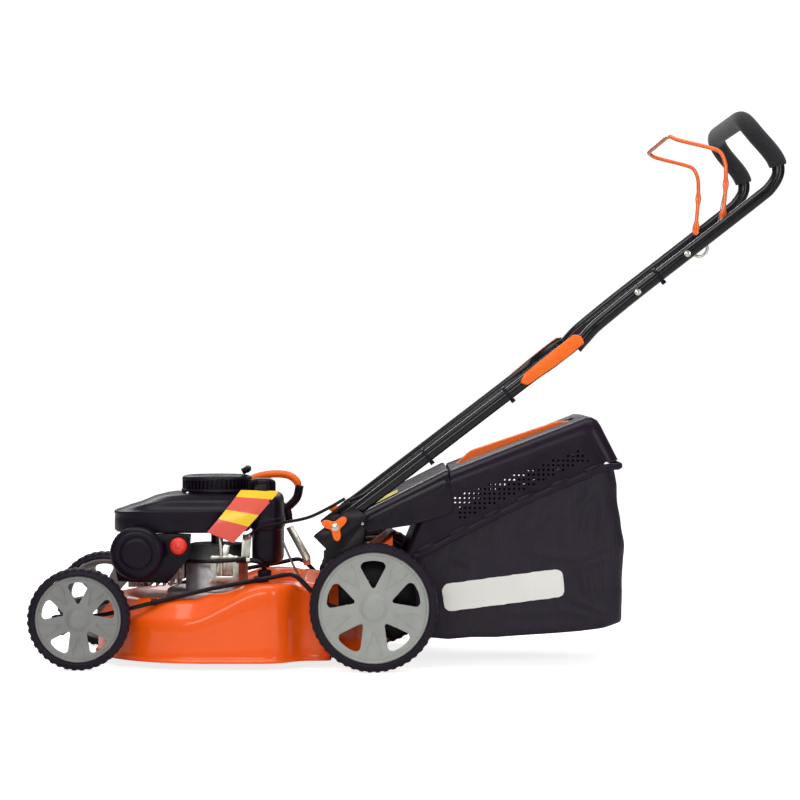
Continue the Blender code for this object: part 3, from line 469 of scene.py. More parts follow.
def edged_copy(node, width):
    mesh = frame["nodes"][node].data.copy()
    mesh.name = f"{node}_finished"
    work = bmesh.new()
    work.from_mesh(mesh)
    bmesh.ops.remove_doubles(work, verts=work.verts, dist=2e-6)
    bmesh.ops.dissolve_limit(
        work, angle_limit=math.radians(0.5), verts=work.verts, edges=work.edges, delimit=set()
    )
    work.to_mesh(mesh)
    work.free()
    mesh.materials.clear()
    mesh.materials.append(FINISHES[slot_of[node]])
    piece = bpy.data.objects.new(f"{node}_finished", mesh)
    bpy.context.scene.collection.objects.link(piece)
    if width:
        rounded(piece, width)
    return dressed(piece, body_of[node], slot_of[node], node)


for node, width in EDGES.items():
    edged_copy(node, width)
print(len(EDGES), "CAD pieces given broken edges")

# %% [markdown]
# ## Repeating pieces with Geometry Nodes
#
# Tread lugs, cooling ribs and cap flutes are one small shape set round an axis many times.
# A node tree does that: a circle of points, the shape placed on each one and turned to
# face out, then made real, because an instance has no mesh of its own to export. The
# inputs have names and sizes, so one tree serves every ring of copies on the mower.

# %% A ring of copies
def named_inputs(tree, sockets):
    tree.interface.new_socket("Geometry", in_out="OUTPUT", socket_type="NodeSocketGeometry")
    for label, kind in sockets:
        tree.interface.new_socket(label, in_out="INPUT", socket_type=f"NodeSocket{kind}")
    return add_node(tree, "NodeGroupInput").outputs


ring_tree = bpy.data.node_groups.new("ring_of_copies", "GeometryNodeTree")
given = named_inputs(
    ring_tree,
    [("Shape", "Object"), ("Count", "Int"), ("Radius", "Float"), ("Start Angle", "Float"),
     ("Centre", "Vector"), ("Tilt", "Vector"), ("Material", "Material")],
)
loop = add_node(ring_tree, "GeometryNodeMeshCircle", {"Vertices": given["Count"], "Radius": given["Radius"]})
one = add_node(ring_tree, "GeometryNodeObjectInfo", {"Object": given["Shape"]})
index = add_node(ring_tree, "GeometryNodeInputIndex")
step = add_node(ring_tree, "ShaderNodeMath", {0: 2 * math.pi, 1: given["Count"]}, operation="DIVIDE")
turn = add_node(ring_tree, "ShaderNodeMath", {0: index.outputs[0], 1: step.outputs[0]}, operation="MULTIPLY")
spin = add_node(ring_tree, "ShaderNodeCombineXYZ", {"Z": turn.outputs[0]})
copies = add_node(
    ring_tree,
    "GeometryNodeInstanceOnPoints",
    {"Points": loop.outputs[0], "Instance": one.outputs["Geometry"], "Rotation": spin.outputs[0]},
)
first = add_node(ring_tree, "ShaderNodeCombineXYZ", {"Z": given["Start Angle"]})
started = add_node(
    ring_tree, "GeometryNodeTransform", {"Geometry": copies.outputs[0], "Rotation": first.outputs[0]}
)
placed = add_node(
    ring_tree,
    "GeometryNodeTransform",
    {"Geometry": started.outputs[0], "Rotation": given["Tilt"], "Translation": given["Centre"]},
)
real = add_node(ring_tree, "GeometryNodeRealizeInstances", {0: placed.outputs[0]})
painted = add_node(
    ring_tree, "GeometryNodeSetMaterial", {"Geometry": real.outputs[0], "Material": given["Material"]}
)
add_node(ring_tree, "NodeGroupOutput", {0: painted.outputs[0]})
TILT = {"Z": (0, 0, 0), "Y": (math.pi / 2, 0, 0)}


def grown(name, tree, **inputs):
    """Runs a tree on an empty mesh and keeps what it makes as a plain mesh."""
    piece = bpy.data.objects.new(name, bpy.data.meshes.new(name))
    bpy.context.scene.collection.objects.link(piece)
    growth = piece.modifiers.new("growth", "NODES")
    growth.node_group = tree
    for item in tree.interface.items_tree:
        if item.in_out == "INPUT" and item.name in inputs:
            growth[item.identifier] = inputs[item.name]
    evaluated(piece)
    outward(piece.data)
    return piece


def pattern(points, faces):
    """Hidden object that a tree copies. It is removed after use."""
    shape = new_piece("pattern", points, faces, None)
    shape.hide_render = True
    return shape


def ring_of(name, shape, count, radius, centre, axis, paint, start=0.0):
    made = grown(
        name,
        ring_tree,
        Shape=shape,
        Count=count,
        Radius=radius * MM,
        Centre=Vector(centre) * MM,
        Tilt=TILT[axis],
        Material=paint,
        **{"Start Angle": start},
    )
    return made


def box_points(low, high):
    (a, b, c), (d, e, f) = low, high
    points = [(a, b, c), (d, b, c), (d, e, c), (a, e, c), (a, b, f), (d, b, f), (d, e, f), (a, e, f)]
    return points, [(0, 3, 2, 1), (4, 5, 6, 7), (0, 1, 5, 4), (1, 2, 6, 5), (2, 3, 7, 6), (3, 0, 4, 7)]


print("tree inputs:", [item.name for item in ring_tree.interface.items_tree if item.in_out == "INPUT"])

# %% [markdown]
# ## Wheels
#
# A tyre on a push mower is a moulded ring with square lugs across its tread, so that it
# grips wet grass. The ring is turned from a profile, and the lugs are a ring of copies.
# The rim is a dished disc with five shield-shaped windows. Windows like that are awkward
# to cut with Booleans and keep smooth, so the disc is triangulated flat with its holes
# left out, then each point is pushed to the depth of the dish, and thickness and rounded
# window edges come from Solidify and Bevel.

# %% Sizes of the wheels
WHEELS = {
    "front": {"hub": (-645.4, 101.6), "radius": 101.6, "rim": 86.0, "sides": (193.0, 238.0), "cap": 20.0},
    "rear": {"hub": (-59.5, 127.0), "radius": 127.0, "rim": 110.0, "sides": (220.0, 270.0), "cap": 24.0},
}
FIRST_WINDOW, WINDOWS = 90.7, 5


# %% [markdown]
# ## Tyres
#
# The casing is a profile turned round the wheel's axis, since a tyre is the same all the way
# round. A lug is modelled once and copied round the casing, so that changing one changes all.

# %% Tyres
def tyre_profile(kind, near, far):
    radius, rim = kind["radius"] - 1.1, kind["rim"]
    return [
        (rim + 0.4, near + 6), (rim + 1.5, near + 1.4), (rim + 4, near), (rim + 7, near + 1.6),
        (radius - 7, near + 2.0), (radius - 3, near + 3.6), (radius - 0.8, near + 7.5), (radius, near + 13),
        (radius, far - 13), (radius - 0.8, far - 7.5), (radius - 3, far - 3.6), (radius - 7, far - 2.0),
        (rim + 7, far - 1.6), (rim + 4, far), (rim + 1.5, far - 1.4), (rim + 0.4, far - 6),
    ]


def tyre(end, side):
    kind = WHEELS[end]
    low, high = sorted((side * kind["sides"][0], side * kind["sides"][1]))
    hub, rubber = kind["hub"], FINISHES["tyre_rubber"]
    body = f"{end}_wheel_{'left' if side < 0 else 'right'}"
    word = body.replace("wheel", "tyre")
    points, faces = turned("Y", hub, tyre_profile(kind, low, high), 96, closed=True)
    ring = new_piece(f"{word}_casing", points, faces, rubber)
    dressed(ring, body, "tyre_rubber", word)
    half, count = (high - low) / 2 - 2.5, 40 if end == "front" else 48
    top = 1.1
    rings = []
    for z, reach in (
        (-half, 0.55), (-half + 3, 0.9), (-half + 8, 1.0), (half - 8, 1.0), (half - 3, 0.9), (half, 0.55)
    ):
        out = -2.6 + (top + 2.6) * reach
        rings.append([
            (-4.0, -4.4, z), (out - 0.7, -4.2, z), (out, -3.2, z), (out, 3.2, z), (out - 0.7, 4.2, z),
            (-4.0, 4.4, z)
        ])
    shape = pattern(*skin(rings))
    centre = (hub[0], (low + high) / 2, hub[1])
    lugs = ring_of(f"{word}_lugs", shape, count, kind["radius"] - 1.1, centre, "Y", rubber, math.pi / count)
    bpy.data.objects.remove(shape)
    dressed(lugs, body, "tyre_rubber")


for end in WHEELS:
    for side in (-1, 1):
        tyre(end, side)
print("4 tyres")


# %% [markdown]
# ## Flat outlines
#
# Three steps are shared by rims and flat parts: rounding the corners of an outline with a
# quadratic Bezier curve, asking whether a point lies inside a loop, and filling an outline
# with triangles while leaving its holes out. delaunay_2d_cdt does the filling, and a triangle
# is kept only when its middle lies inside the outline and outside every hole.

# %% A flat plate with holes
def loop_rounded(corners, radius, steps=5):
    """Closed outline with each corner turned into an arc."""
    out = []
    count = len(corners)
    for i in range(count):
        here = Vector(corners[i])
        back = (Vector(corners[i - 1]) - here).normalized()
        ahead = (Vector(corners[(i + 1) % count]) - here).normalized()
        reach = min(
            radius, (Vector(corners[i - 1]) - here).length * 0.45,
            (Vector(corners[(i + 1) % count]) - here).length * 0.45
        )
        start, end = here + back * reach, here + ahead * reach
        for step in range(steps + 1):
            t = step / steps
            out.append(start * (1 - t) ** 2 + here * 2 * t * (1 - t) + end * t**2)
    return out


def inside(point, loop):
    hit = False
    for i in range(len(loop)):
        a, b = loop[i - 1], loop[i]
        if (a[1] > point[1]) != (b[1] > point[1]):
            hit ^= point[0] < (b[0] - a[0]) * (point[1] - a[1]) / (b[1] - a[1]) + a[0]
    return hit


def pierced(outline, holes, extra=()):
    """Triangles of a flat outline with its holes left out, as (points, faces) in two dimensions."""
    points, edges = [], []
    for loop in (outline, *holes):
        start = len(points)
        points.extend(Vector(p) for p in loop)
        edges.extend((start + i, start + (i + 1) % len(loop)) for i in range(len(loop)))
    points.extend(Vector(p) for p in extra)
    found, _, faces, *_ = delaunay_2d_cdt(points, edges, [], 1, 1e-4)
    boxes = [
        (min(p[0] for p in h), max(p[0] for p in h), min(p[1] for p in h), max(p[1] for p in h), h)
        for h in holes
    ]
    kept = []
    for face in faces:
        middle = sum((found[i] for i in face), Vector((0, 0))) / len(face)
        if not inside(middle, outline):
            continue
        if any(a < middle[0] < b and c < middle[1] < d and inside(middle, h) for a, b, c, d, h in boxes):
            continue
        kept.append(face)
    return found, kept


# %% [markdown]
# ## Rims
#
# The disc has five windows, narrow at the hub and wide at the rim. Extra points inside the
# outline let the flat disc take the curve of the dish. A turned barrel closes the rim's edge.

# %% Rims
def shield(radius, turn):
    """Window outline: wide at the rim, pointed at the hub."""
    spots = [
        (0.36, -4), (0.36, 4), (0.57, 13.5), (0.78, 17.5), (0.845, 13), (0.86, 0), (0.845, -13),
        (0.78, -17.5), (0.57, -13.5)
    ]
    corners = []
    for reach, lean in spots:
        way = math.radians(turn + lean)
        corners.append((radius * reach * math.cos(way), radius * reach * math.sin(way)))
    return loop_rounded(corners, radius * 0.11)


def rim(end, side):
    kind = WHEELS[end]
    hub, radius, cap = kind["hub"], kind["rim"], kind["cap"]
    outer, inner = kind["sides"][1], kind["sides"][0]
    slot = f"{end}_rim_plastic"
    body = f"{end}_wheel_{'left' if side < 0 else 'right'}"
    word = body.replace("wheel", "rim")
    windows = [shield(radius, FIRST_WINDOW + i * 360 / WINDOWS) for i in range(WINDOWS)]
    edge = radius - 5
    outline = [
        (edge * math.cos(math.radians(a * 3)), edge * math.sin(math.radians(a * 3))) for a in range(120)
    ]
    extra = []
    for share in (0.12, 0.2, 0.26, 0.4, 0.5, 0.6, 0.7, 0.8, 0.91):
        for i in range(60):
            way = math.radians(i * 6 + 3 * (share * 100 % 2))
            spot = (radius * share * math.cos(way), radius * share * math.sin(way))
            if not any(inside(spot, w) for w in windows):
                extra.append(spot)
    flat, faces = pierced(outline, windows, extra)

    def depth(p):
        """The dish: proud at the hub, sunk between hub and rim."""
        share = p.length / radius
        return 7.5 + 3.5 * math.sin(math.pi * min(1.0, max(0.0, (share - 0.26) / 0.68))) ** 2

    points = [(hub[0] + p[0], side * (outer - depth(p)), hub[1] + p[1]) for p in flat]
    disc = new_piece(f"{word}_disc", points, faces, FINISHES[slot])
    work = bmesh.new()
    work.from_mesh(disc.data)
    if sum(f.normal.y * f.calc_area() for f in work.faces) * side < 0:
        bmesh.ops.reverse_faces(work, faces=work.faces)
    work.to_mesh(disc.data)
    work.free()
    wall = disc.modifiers.new("wall", "SOLIDIFY")
    wall.thickness, wall.offset = 7 * MM, -1.0
    rounded(disc, 1.7, 3, 50)
    dressed(disc, body, slot, word, sharp=50)

    def y(from_outside):
        return side * (outer - from_outside)

    lip = [
        (radius - 7.5, y(10)), (radius - 6.5, y(6.5)), (radius - 4.5, y(4.4)), (radius - 2.2, y(4.2)),
        (radius - 0.3, y(6)),
        (radius, y(9)), (radius, side * (inner + 6)), (radius - 4, side * (inner + 6)),
        (radius - 5, y(17)), (radius - 7.5, y(15)),
    ]
    barrel = new_piece(f"{word}_barrel", *turned("Y", hub, lip, 96, closed=True), FINISHES[slot])
    dressed(barrel, body, slot)
    dome = [
        (cap + 5.5, y(8.6)), (cap + 4.0, y(6.8)), (cap + 1.5, y(6.2)), (cap, y(5.2)), (cap - 1.5, y(3.2)),
        (cap - 5, y(2.2))
    ]
    dome += [(cap - 11, y(1.6)), (0.01, y(1.4)), (0.01, y(14)), (cap + 3, y(14))]
    button = new_piece(f"{word}_hub_cap", *turned("Y", hub, dome, 64), FINISHES[slot])
    dressed(button, body, slot)
    back = [
        (7.5, y(15)), (0.21 * radius, y(15)), (0.21 * radius, side * (inner + 1)),
        (7.5, side * (inner + 1))
    ]
    boss = new_piece(f"{word}_hub", *turned("Y", hub, back, 48, closed=True), FINISHES[slot])
    dressed(boss, body, slot)
    relief = []
    for i in range(WINDOWS):
        turn = FIRST_WINDOW + 36 + i * 72
        for way in (-1, 1):
            knots = []
            for reach, lean in ((0.42, 1.5), (0.58, 5.5), (0.74, 10.0), (0.86, 9.0)):
                a = math.radians(turn + way * lean)
                spot = Vector((radius * reach * math.cos(a), radius * reach * math.sin(a)))
                knots.append((hub[0] + spot[0], side * (outer - depth(spot) - 0.1), hub[1] + spot[1]))
            relief.append(tube(smooth_path(knots, 5), 1.1, 8))
    ridges = new_piece(f"{word}_ridges", *merged(*relief), FINISHES[slot])
    dressed(ridges, body, slot)


for end in WHEELS:
    for side in (-1, 1):
        rim(end, side)
print("4 rims with", WINDOWS, "windows each")

# %% [markdown]
# ## The pressed deck
#
# The deck is one sheet of steel, drawn over a die. Its skirt is round at the front about
# the blade and climbs towards the rear, where the cut grass leaves. Like a boat's hull it
# is a stack of rings that follow one plan, so it is built as rings: a rolled foot, an
# upright skirt, a rounded shoulder, the slope up to the ridge, and the flat for the engine.

# %% Deck
SHAFT_X, SHEET = -386.0, 3.0


def ease(low, high, value):
    t = min(1.0, max(0.0, (value - low) / (high - low)))
    return t * t * (3 - 2 * t)


def shoulder_height(x):
    """Top of the upright skirt: level along the blade's chamber, then a sweep up to the rear wheels."""
    return 99 + 4 * ease(-620, -540, x) + 64 * ease(-440, -262, x) - 12 * ease(-222, -180, x)


def ridge_height(x):
    """The crest between the slope and the engine's flat."""
    return 137 + 12 * ease(-430, -380, x) + 22 * ease(-370, -264, x)


def deck_plan():
    half = []
    for i in range(33):
        a = math.pi - i * math.pi / 64
        half.append((SHAFT_X + 245 * math.cos(a), 238 * math.sin(a)))
    rear = [
        (-345, 238), (-300, 238), (-262, 234), (-236, 218), (-218, 200), (-200, 190), (-165, 187),
        (-153, 184), (-150, 178)
    ]
    half += [(p.x, p.y) for p in smooth_path([(x, y, 0) for x, y in rear], 4)]
    half += [(-150, y) for y in (150, 120, 90, 60, 30, 0)]
    return half + [(x, -y) for x, y in reversed(half[1:-1])]


def deck_rings():
    plan = deck_plan()
    rings = []

    def ring(scale, height, inset=0.0):
        row = []
        for x, y in plan:
            out = Vector((x - SHAFT_X, y))
            out = out * scale - out.normalized() * inset
            row.append((SHAFT_X + out.x, out.y, height(x)))
        rings.append(row)

    for inset, side in ((0.0, 1), (SHEET, -1)):
        rows = [
            (1.016, lambda x: 15.0), (1.022, lambda x: 16.0), (1.022, lambda x: 19.0),
            (1.016, lambda x: 20.5),
            (1.009, lambda x: 21.5), (1.003, lambda x: 24.0), (1.0, lambda x: 29.0),
            (0.999, lambda x: 24 + (shoulder_height(x) - 24) * 0.35),
            (0.998, lambda x: 24 + (shoulder_height(x) - 24) * 0.65),
            (0.995, lambda x: shoulder_height(x) - 17), (0.99, lambda x: shoulder_height(x) - 9),
            (0.978, lambda x: shoulder_height(x) - 2.5), (0.958, lambda x: shoulder_height(x) + 2.5),
            (0.92, lambda x: shoulder_height(x) + 0.28 * (ridge_height(x) - shoulder_height(x)) + 2),
            (0.87, lambda x: shoulder_height(x) + 0.72 * (ridge_height(x) - shoulder_height(x)) + 1),
            (0.83, lambda x: ridge_height(x) - 2.0), (0.79, lambda x: ridge_height(x)),
            (0.75, lambda x: ridge_height(x) - 1.0),
            (0.71, lambda x: ridge_height(x) * 0.6 + 128 * 0.4),
            (0.66, lambda x: 128 + (ridge_height(x) - 128) * 0.12),
            (0.62, lambda x: 128.0), (0.5, lambda x: 127.9), (0.17, lambda x: 127.9),
        ]
        for scale, height in rows if side > 0 else reversed(rows):
            drop = 0.0 if side > 0 or scale > 0.99 else SHEET
            ring(scale, lambda x, h=height, d=drop: max(10.0, h(x) - d), inset if scale > 0.8 else 0.0)
    return rings


def cut_from(piece, *cutters):
    for points, faces in cutters:
        helper = new_piece("cutter", points, faces, None)
        knife = piece.modifiers.new("cut", "BOOLEAN")
        knife.operation, knife.solver, knife.object = "DIFFERENCE", "EXACT", helper
        evaluated(piece)
        bpy.data.objects.remove(helper)
    return piece


deck = new_piece("deck_pressing", *skin(deck_rings(), closed=True), FINISHES["deck_paint_orange"])
cut_from(deck, box_points((-164, -140, 36), (-138, 140, 148)))
dressed(deck, "deck", "deck_paint_orange", "deck_shell", sharp=60)
print(len(deck.data.polygons), "faces on the deck")

# %% [markdown]
# ## Engine shroud
#
# The black shroud over the engine is a thin moulding that guides cooling air. Its rim is a
# rolled bead, its side slopes in, and its top falls away to the front. It is rings again,
# each tilted: a ring's height is a function of x, so that one list of rings gives the bead,
# the slope, the crease and the sunk seat of the starter.

# %% Shroud
def shroud_rings(inset, drop):
    rings = []

    def ring(centre, half, height, power=3.4):
        row = []
        for x, y, _ in oval((centre, 0), (half[0] - inset, half[1] - inset), 0, power, 128):
            row.append((x, y, height(x) - drop))
        rings.append(row)

    def slope(low, high):
        return lambda x: low + (high - low) * ease(-590, -462, x)

    for centre, half, height in (
        (-455, (137, 119), slope(267, 267)), (-455, (139.4, 121.4), slope(268, 268)),
        (-455, (140, 122), slope(271, 270)),
        (-455, (139.8, 121.8), slope(290, 292)), (-455, (139.4, 121.4), slope(300, 303)),
        (-455, (140.6, 122.6), slope(303, 306)),
        (-455, (140.8, 122.8), slope(305, 308.6)), (-455, (139.6, 121.6), slope(307, 310.6)),
        (-455, (136.5, 118.8), slope(307.8, 311.4)),
        (-453, (133.5, 115.6), slope(309, 314)), (-451.5, (130, 112), slope(311, 320)),
        (-449.5, (125.5, 108.5), slope(313, 326)),
        (-448, (122, 106.5), slope(314.4, 329.2)), (-446, (117, 102.5), slope(315.4, 331.4)),
        (-441, (109, 96), slope(317, 334.8)),
        (-434, (100, 89.5), slope(319.6, 338.6)), (-426, (92.5, 84.5), slope(324, 341)),
        (-412, (82.5, 79), slope(332, 342.4)),
        (-396, (77, 75.8), slope(340, 342.9)), (SHAFT_X, (74.6, 74.6), slope(343, 343)),
        (SHAFT_X, (64, 64), slope(343, 343)),
    ):
        ring(centre, half, height, 3.4 if half[0] > 100 else 2.0 + 1.4 * ease(74.6, 100, half[0]))
    return rings


outer = shroud_rings(0, 0)
inner = shroud_rings(3.0, 3.0)
inner[0] = [(x, y, outer[0][i][2]) for i, (x, y, _) in enumerate(inner[0])]
shroud = new_piece("shroud", *skin([*outer, *reversed(inner)], closed=True), FINISHES["black_plastic"])
dressed(shroud, "deck", "black_plastic", "blower_housing", sharp=50)

# %% [markdown]
# Screws hold the shroud and the starter down. One tree makes a hexagon-headed screw with
# its washer and copies it onto every point it is given, so all the loose fasteners of the
# machine are one call each.

# %% A screw on every point
screw_tree = bpy.data.node_groups.new("screws_on_points", "GeometryNodeTree")
screw_tree.interface.new_socket("Points", in_out="INPUT", socket_type="NodeSocketObject")
given = named_inputs(
    screw_tree,
    [("Head Radius", "Float"), ("Head Height", "Float"), ("Washer Radius", "Float"), ("Turn", "Vector"),
     ("Material", "Material")],
)
spots = add_node(screw_tree, "GeometryNodeObjectInfo", {"Object": given["Points"]})
head = add_node(
    screw_tree,
    "GeometryNodeMeshCylinder",
    {"Vertices": 6, "Radius": given["Head Radius"], "Depth": given["Head Height"]},
)
half_head = add_node(screw_tree, "ShaderNodeMath", {0: given["Head Height"], 1: 0.5}, operation="MULTIPLY")
lift = add_node(screw_tree, "ShaderNodeCombineXYZ", {"Z": half_head.outputs[0]})
raised = add_node(
    screw_tree, "GeometryNodeTransform", {"Geometry": head.outputs[0], "Translation": lift.outputs[0]}
)
washer = add_node(
    screw_tree, "GeometryNodeMeshCylinder",
    {"Vertices": 32, "Radius": given["Washer Radius"], "Depth": 0.0012}
)
both = add_node(screw_tree, "GeometryNodeJoinGeometry")
screw_tree.links.new(raised.outputs[0], both.inputs[0])
screw_tree.links.new(washer.outputs[0], both.inputs[0])
turned_screw = add_node(
    screw_tree, "GeometryNodeTransform", {"Geometry": both.outputs[0], "Rotation": given["Turn"]}
)
set_down = add_node(
    screw_tree, "GeometryNodeInstanceOnPoints",
    {"Points": spots.outputs["Geometry"], "Instance": turned_screw.outputs[0]}
)
real = add_node(screw_tree, "GeometryNodeRealizeInstances", {0: set_down.outputs[0]})
painted = add_node(
    screw_tree, "GeometryNodeSetMaterial", {"Geometry": real.outputs[0], "Material": given["Material"]}
)
add_node(screw_tree, "NodeGroupOutput", {0: painted.outputs[0]})
FACING = {
    "up": (0, 0, 0), "left": (math.pi / 2, 0, 0), "right": (-math.pi / 2, 0, 0),
    "front": (0, -math.pi / 2, 0)
}


def screws(name, spots, body, slot, facing="up", head=5.0, height=4.0, washer=7.0):
    points = new_piece("spots", spots, [], None)
    made = grown(
        name, screw_tree, Points=points, Turn=FACING[facing], Material=FINISHES[slot],
        **{"Head Radius": head * MM, "Head Height": height * MM, "Washer Radius": washer * MM},
    )
    bpy.data.objects.remove(points)
    rounded(made, 0.5, 2, 20)
    return dressed(made, body, slot, sharp=30)


# %% [markdown]
# ## Recoil starter cover
#
# The round cap over the starter spring is a grille. Its side is a row of upright bars and
# its top is cut by slots from the middle out, to let the fan draw air. The bars are a ring
# of copies between a lower ring and a top dish, over a dark drum.

# %% Starter cover
centre = (SHAFT_X, 0)
plastic = FINISHES["black_plastic"]
drum = [(66.0, 343.6), (66.0, 374), (60, 375.6), (20, 375.6), (20, 371), (62, 371), (62, 343.6)]
parts = [turned("Z", centre, drum, 96, closed=True)]
foot = [(64, 343.6), (72.6, 343.6), (73.6, 345.4), (73.6, 349), (72, 350.6), (64, 350.6)]
parts.append(turned("Z", centre, foot, 96, closed=True))
crown = [
    (64, 368.6), (72.0, 368.6), (72.6, 371), (71.4, 374.2), (67.6, 376.8), (62.6, 378), (61.2, 376.8),
    (60.4, 373), (64, 371)
]
parts.append(turned("Z", centre, crown, 96, closed=True))
hub = [(0.01, 378), (21, 378), (24, 377), (25, 374.6), (25, 372), (0.01, 372)]
parts.append(turned("Z", centre, hub, 48))
cover = new_piece("recoil_cover_body", *merged(*parts), plastic)
dressed(cover, "deck", "black_plastic", "recoil_cover", sharp=50)
bar = pattern(*box_points((-4.0, -1.5, 0), (2.4, 1.5, 20.5)))
bars = ring_of("recoil_cover_bars", bar, 48, 69.4, (SHAFT_X, 0, 349.4), "Z", plastic)
bpy.data.objects.remove(bar)
rounded(bars, 0.5)
dressed(bars, "deck", "black_plastic", sharp=30)
spoke = pattern(*box_points((-19.5, -2.0, 0), (19.5, 2.0, 2.0)))
spokes = ring_of("recoil_cover_spokes", spoke, 28, 43.4, (SHAFT_X, 0, 375.4), "Z", plastic)
bpy.data.objects.remove(spoke)
rounded(spokes, 0.5)
dressed(spokes, "deck", "black_plastic", sharp=30)
around = [
    (SHAFT_X + 84 * math.cos(math.radians(a)), 84 * math.sin(math.radians(a)), 341.2)
    for a in (-48, 48, 132, 228)
]
screws("starter_screws", around, "deck", "zinc_plated_steel", head=4.4, height=4.6, washer=6.5)
screws("shroud_side_screws", [(-368, -121.6, 286)], "deck", "zinc_plated_steel", "left", 4.6, 3.4, 7.4)
print(len(bars.data.polygons) + len(spokes.data.polygons), "faces of grille")


# %% [markdown]
# ## Starter grip
#
# The handle of the starter cord is a moulded T with a rounded bar that fits four fingers.
# It sits against the guide where the cord comes out.

# %% Grip
PULL = Vector((0.871, 0.0, 0.491))
foot = Vector((-334, 0, 384))
bar_middle = foot + PULL * 13
knots = [bar_middle + Vector((0, y, 0)) - PULL * (abs(y) / 30) ** 2 * 3.0 for y in range(-30, 31, 3)]
grip_bar = tube(knots, lambda t: 7.6 * (1 - 0.62 * abs(2 * t - 1) ** 6), 24)
stem = tube([foot + PULL * d for d in (0.5, 2, 6, 13)], lambda t: (9.5 - 2.5 * t, 7.5 - 1.5 * t), 24)
grip = new_piece("starter_grip_bar", *merged(grip_bar, stem), plastic)
dressed(grip, "starter_grip", "black_plastic", "starter_grip")

# %% [markdown]
# ## Fuel tank and its cap
#
# A mower's tank is blow-moulded, so it has no sharp corner anywhere, and the two halves of
# the mould leave a proud seam band round its side. The cap is fluted for grip: a ring of
# small upright ribs round a low drum with a rounded top.

# %% Tank
middle, half = (-279, -20), (31.5, 98)
rows = [
    (-6, 202.5), (-3, 203.2), (-1.2, 205), (0, 209), (0, 240), (0, 268), (0.3, 270.4), (2.0, 271.6),
    (2.4, 274), (2.4, 291),
    (2.0, 293.4), (0.3, 294.6), (0, 297), (0, 322), (-0.6, 329), (-2.4, 334.4), (-5.6, 338.2),
    (-10, 340.2), (-16, 340.6), (-26, 340.6),
]
shell = [oval(middle, (half[0] + grow, half[1] + grow), z, 3.6) for grow, z in rows]
neck = turned(
    "Z", (-288.5, -72),
    [(18, 338), (18, 343.5), (20.5, 345), (20.5, 349), (18, 350), (13, 350), (13, 338)], 48, closed=True
)
tank = new_piece("fuel_tank_shell", *merged(skin(shell), neck), plastic)
dressed(tank, "deck", "black_plastic", "fuel_tank", sharp=60)

# %% [markdown]
# ## Fuel cap
#
# The cap is a turned drum with upright ribs that a hand can grip. The ribs are one rib
# copied round the drum.

# %% Cap
spot = (-288.5, -72)
drum = [
    (21.4, 344.6), (24.0, 344.6), (24.6, 346), (24.6, 364), (24.0, 367.6), (22.2, 371), (19.4, 373.4),
    (14, 374.8), (8, 375)
]
drum += [(0.01, 375), (0.01, 356), (21.4, 356)]
cap = new_piece("fuel_cap_drum", *turned("Z", spot, drum, 72), plastic)
dressed(cap, "fuel_cap", "black_plastic", "fuel_cap", sharp=50)
rib = pattern(
    *skin([
        [(-2.6, -2.6, z), (reach, -1.7, z), (reach, 1.7, z), (-2.6, 2.6, z)] for z,
        reach in ((0, 2.2), (19, 2.2), (22, 1.4), (25, -1.0))
    ])
)
flutes = ring_of("fuel_cap_flutes", rib, 18, 25.2, (*spot, 345.4), "Z", plastic)
bpy.data.objects.remove(rib)
dressed(flutes, "fuel_cap", "black_plastic", sharp=30)

# %% [markdown]
# ## Air cleaner and primer
#
# The air cleaner's round lid has a bevelled rim and a shallow step to a smaller disc, the
# mark of a twist lid. Next to it the red bulb pumps petrol for a cold start: soft silicone
# with a nub in the middle, in a guard ring of the same plastic as the cleaner.

# %% Lid, bulb and guard
lid_profile = [
    (50, -124.6), (53, -124.6), (53.6, -127), (53.6, -147), (53, -150.6), (50.6, -154.6), (46.8, -157.4),
    (42, -158.6), (36, -159),
    (34.2, -159.0), (33.4, -157.4), (32.4, -157.2), (31.2, -158.8), (29.6, -160), (24, -160.4),
    (0.01, -160.4), (0.01, -150), (46, -148),
]
lid = new_piece("filter_lid", *turned("Y", (-538, 226), lid_profile, 96), plastic)
dressed(lid, "deck", "black_plastic", "air_filter_cover", sharp=40)
bulb_profile = [
    (0.01, -114), (17.8, -114), (18, -122), (17.8, -134), (16.6, -139), (14.2, -142.6), (10.6, -145),
    (7.2, -146), (5.4, -146.3)
]
bulb_profile += [(4.6, -147.3), (3.0, -148.1), (0.01, -148.3)]
bulb = new_piece("primer_dome", *turned("Y", (-455, 240), bulb_profile, 64), FINISHES["primer_rubber_red"])
dressed(bulb, "primer_bulb", "primer_rubber_red", "primer_bulb", sharp=60)
knob_ribs = pattern(*box_points((-1.2, -1.2, -9), (0.7, 1.2, 9)))
lid_grip = ring_of("filter_lid_grip", knob_ribs, 40, 53.4, (-538, -138, 226), "Y", plastic)
bpy.data.objects.remove(knob_ribs)
dressed(lid_grip, "deck", "black_plastic", sharp=30)

# %% [markdown]
# ## Hose and small metalwork by the carburettor
#
# Between the air cleaner and the tank are the parts a mechanic reaches for: the zinc strap
# that stands by the governor, the vinyl breather hose with its spring clamp, and the boot
# of the ignition lead. They are small, but they catch the light, so the engine looks like an
# engine.

